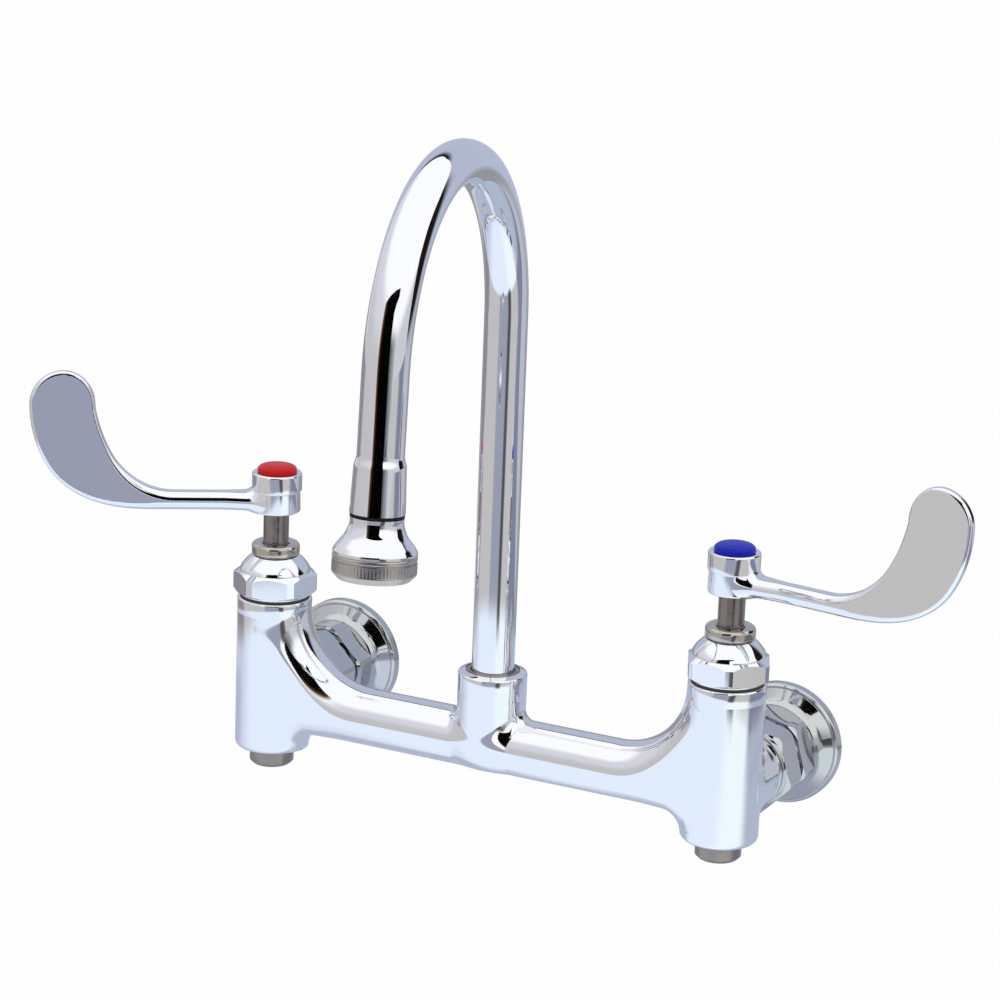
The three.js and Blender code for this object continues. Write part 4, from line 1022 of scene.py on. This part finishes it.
def roseRing():
    # From the bell down: a bead, a groove, the ribbed band and a bevel to the mouth.
    r = rose
    top, outside, bore = -r["bellLength"] - 0.1, r["ringRadius"], r["ringBore"]
    bandTop, bandBottom = top - 2.4, -r["ringBevelStart"] - 0.4
    band = outside - r["ribHeight"]
    ring = turnedRing(
        (bore, -r["ringBottom"]), (r["ringMouth"], -r["ringBottom"], 0.5), (outside, bandBottom - 0.4, 0.6),
        (outside, bandBottom, 0.2), (band, bandBottom + 0.2), (band, bandTop), (outside - 0.7, bandTop, 0.1),
        (outside - 0.7, bandTop + 0.45, 0.1), (outside, bandTop + 0.7, 0.5), (outside, top, 0.7), (14, top),
        (bore, top - 3),
    )
    makePiece("roseRing", [ring], brushedNickel, roseTurn, "spout")
    grown("roseRibs", ribShape, brushedNickel, {
        "Count": r["ribs"], "Radius": band, "Height": (bandTop + bandBottom) / 2,
        "Width": r["ribWidth"], "Depth": 2 * r["ribHeight"], "Length": bandTop - bandBottom - 0.3,
    }, roseTurn, "rose_ring")


def sprayFace():
    s = spray
    grown("sprayFace", sprayShape, brushedNickel, {
        "Radius": s["radius"], "Thickness": s["thickness"], "Bottom": s["top"] - s["thickness"],
        "Pitch": s["pitch"], "Hole": s["hole"], "Lip": s["lip"],
    }, roseTurn)


gooseneck()
swivelRetainer()
outletGasket()
roseBody()
roseRing()
sprayFace()
print("spout made")


# The camera, the floor and the light.
view = {
    "place": (590.13, -1250.55, 468.41),
    "right": (0.89041, 0.45370, 0.03637),
    "up": (-0.15290, 0.22288, 0.96278),
    "lens": 125.28,
}


def makeCamera():
    camera = bpy.data.objects.new("camera", bpy.data.cameras.new("camera"))
    bpy.context.collection.objects.link(camera)
    right = Vector(view["right"]).normalized()
    up = Vector(view["up"]).normalized()
    back = right.cross(up).normalized()
    turn = Matrix((right, up, back)).transposed()
    camera.matrix_world = Matrix.Translation(Vector(view["place"]) * metresPerMm) @ turn.to_4x4()
    camera.data.sensor_width = 36
    camera.data.lens = view["lens"]
    camera.data.clip_start = 0.05
    camera.data.clip_end = 50
    bpy.context.scene.camera = camera


def softSpan(tree, value, start, end, soft):
    # 1 between the start and the end, and 0 outside them, with soft borders.
    rise = ranged(tree, value, (start - soft, start + soft), (0, 1), "SMOOTHSTEP")
    fall = ranged(tree, value, (end - soft, end + soft), (1, 0), "SMOOTHSTEP")
    return calc(tree, "MULTIPLY", rise, fall)


def compass(tree, across, out):
    # Degrees round the faucet, from straight out of the wall (0) to the cold side (90), and the
    # same from 0 to 360, for what stands behind it.
    turn = calc(tree, "MULTIPLY", calc(tree, "ARCTAN2", across, out), 180 / pi)
    return turn, calc(tree, "MULTIPLY_ADD", calc(tree, "LESS_THAN", turn, 0.0), 360, turn)


def patched(tree, base, patches, turn, behind, level):
    # Lays soft patches over a base colour. Each has its colour, the span of degrees round (or metres
    # along) and of levels that it covers, and how soft its borders are in both ways.
    colour = linear(base)
    for shade, (start, end), levels, (softAround, softUp) in patches:
        sector = softSpan(tree, behind if end > 180 else turn, start, end, softAround)
        mask = calc(tree, "MULTIPLY", sector, softSpan(tree, level, *levels, softUp))
        colour = blended(tree, mask, colour, linear(shade))
    return colour


studioGain = 1.1  # what the tent's white cloth gives, so that chrome shows it as white
tent = {
    "cloth": "#ffffff",
    "patches": [
        ("#d6d6de", (-132, -12), (-30, 36), (12, 8)),
        ("#c3c2c4", (-105, -8), (-30, 13), (14, 10)),
        ("#cbccd2", (50, 130), (-30, 13), (6, 6)),
        ("#93959a", (46, 62), (-30, 14), (6, 6)),
        ("#5b6064", (36, 50), (-30, 16), (5, 7)),
    ],
}
table = {
    "level": -0.1,
    "radius": 2.6,
    "cloth": "#e5f0fe",
    "patches": [
        ("#cdd1e6", (-170, -70), (0.1, 0.57), (20, 0.08)),
        ("#f2fcff", (40, 115), (0.1, 0.57), (15, 0.08)),
        ("#8d8578", (-124, -115), (0.5, 0.8), (4, 0.05)),
        # Painted shade on the table, under and behind the faucet.
        ("#b0b8cb", (95, 270), (0.03, 0.45), (12, 0.04)),
        ("#c2c0bf", (-150, 175), (0.5, 9), (15, 0.03)),
        ("#6a5f58", (96, 103), (0.48, 9), (2, 0.03)),
        ("#8d8890", (-118, -80), (0.5, 9), (8, 0.04)),
        ("#9a9daf", (-9, 42), (0.5, 9), (6, 0.04)),
        ("#545256", (37, 53), (0.46, 9), (4, 0.04)),
        ("#7f8498", (92, 165), (0.45, 9), (6, 0.08)),
        ("#a9bad6", (158, 205), (0.4, 9), (10, 0.08)),
    ],
}
# The tent's opening and the board behind the faucet: where they stand, their outlines in metres
# along and up, and soft patches over their own colour.
opening = {
    "turn": 27,
    "middle": (0.256, -0.613),
    "outline": [
        (-0.45, 0.075), (0.1, 0.075), (0.1, 0.46), (0.16, 0.51), (0.26, 0.56), (0.26, 0.62), (-0.45, 0.62),
    ],
    "colour": "#020202",
    "patches": [
        ("#4a2f1a", (-9, -0.31), (-9, 9), (0.05, 0.1)),
        ("#c9c2be", (-9, -0.4), (-9, 9), (0.04, 0.1)),
    ],
}
board = {
    "turn": 180,
    "middle": (0, 0.38),
    "outline": [
        (1.15, -0.1), (-0.95, -0.1), (-0.95, 0.5), (-0.74, 0.56), (-0.47, 0.53), (-0.33, 0.565),
        (-0.165, 0.684), (0, 0.785), (0.5, 0.8), (1, 0.7), (1.15, 0.45),
    ],
    "colour": "#b3bacd",
    "patches": [
        ("#1e1b1a", (-9, 0.7), (0.7, 9), (0.2, 0.06)),
        ("#1c1512", (-9, -0.34), (-9, 9), (0.08, 0.1)),
        ("#94959a", (-9, 9), (-9, 0.1), (0.1, 0.05)),
        ("#b9bbc6", (-9, -0.2), (-9, 0.1), (0.1, 0.05)),
    ],
}


def stageSheet(name, corners, material, surface, onlyMirrored=True):
    addNode(material.node_tree, "ShaderNodeOutputMaterial", {"Surface": surface})
    mesh = bpy.data.meshes.new(name)
    mesh.from_pydata(corners, [], [tuple(range(len(corners)))])
    mesh.materials.append(material)
    sheet = bpy.data.objects.new(name, mesh)
    bpy.context.collection.objects.link(sheet)
    sheet.visible_camera = not onlyMirrored
    sheet.visible_diffuse = not onlyMirrored
    sheet.visible_shadow = not onlyMirrored
    sheet.visible_glossy = onlyMirrored


def makeFloor():
    material, tree = newMaterial("paleFloor")
    half, level = 12, -0.45
    corners = [(x * half, y * half, level) for x, y in ((-1, -1), (1, -1), (1, 1), (-1, 1))]
    paper = made(tree, "ShaderNodeBsdfDiffuse", {"Color": linear("#e8e8e8")})
    glow = made(tree, "ShaderNodeEmission", {"Color": (1, 1, 1, 1), "Strength": 1})
    seen = calc(tree, "MULTIPLY", addNode(tree, "ShaderNodeLightPath").outputs["Is Camera Ray"], 0.93)
    both = made(tree, "ShaderNodeMixShader", {0: seen, 1: paper, 2: glow})
    stageSheet("floor", corners, material, both, False)


def makeTable():
    # The white table under the faucet, which only its mirror finish sees, with painted shade on it under and
    # behind the faucet.
    material, tree = newMaterial("tableCloth")
    corners = [around(table["radius"], 2 * pi * i / 48, table["level"]) for i in range(48)]
    parts = splitUp(tree, objectPlace(tree))
    out = calc(tree, "SUBTRACT", -0.08, parts["Y"])
    flat = made(tree, "ShaderNodeCombineXYZ", {"X": parts["X"], "Y": out})
    reach = addNode(tree, "ShaderNodeVectorMath", {0: flat}, operation="LENGTH").outputs["Value"]
    colour = patched(tree, table["cloth"], table["patches"], *compass(tree, parts["X"], out), reach)
    glow = made(tree, "ShaderNodeEmission", {"Color": colour, "Strength": studioGain})
    stageSheet("table", corners, material, glow)


def makeScreen(name, screen):
    # An upright sheet of the studio that only the mirror finish sees.
    material, tree = newMaterial(name)
    angle = radians(screen["turn"])
    along = Vector((cos(angle), sin(angle), 0))
    middle = Vector((*screen["middle"], 0))
    corners = [middle + along * s + Vector((0, 0, z)) for s, z in screen["outline"]]
    place = objectPlace(tree)
    moved = made(tree, "ShaderNodeVectorMath", {0: place, 1: middle}, operation="SUBTRACT")
    dot = addNode(tree, "ShaderNodeVectorMath", {0: moved, 1: along}, operation="DOT_PRODUCT")
    across, level = dot.outputs["Value"], splitUp(tree, place)["Z"]
    colour = patched(tree, screen["colour"], screen["patches"], across, across, level)
    glow = made(tree, "ShaderNodeEmission", {"Color": colour, "Strength": studioGain})
    stageSheet(name, corners, material, glow)


def makeWorld():
    # A light tent: white cloth all round, with pale grey sides and two darker folds to the cold side.
    world = bpy.data.worlds.new("studio")
    bpy.context.scene.world = world
    world.use_nodes = True
    tree = world.node_tree
    tree.nodes.clear()
    parts = splitUp(tree, addNode(tree, "ShaderNodeTexCoord").outputs["Generated"])
    out = calc(tree, "MULTIPLY", parts["Y"], -1)
    level = calc(tree, "MULTIPLY", calc(tree, "ARCSINE", parts["Z"]), 180 / pi)
    colour = patched(tree, tent["cloth"], tent["patches"], *compass(tree, parts["X"], out), level)
    cloth = made(tree, "ShaderNodeBackground", {"Color": colour, "Strength": studioGain})
    white = made(tree, "ShaderNodeBackground", {"Color": (1, 1, 1, 1), "Strength": 1})
    seen = addNode(tree, "ShaderNodeLightPath").outputs["Is Camera Ray"]
    both = made(tree, "ShaderNodeMixShader", {0: seen, 1: cloth, 2: white})
    addNode(tree, "ShaderNodeOutputWorld", {"Surface": both})


makeCamera()
makeFloor()
makeTable()
makeScreen("opening", opening)
makeScreen("board", board)
makeWorld()
bpy.context.scene.view_settings.view_transform = "Standard"
print("camera, floor and light made")
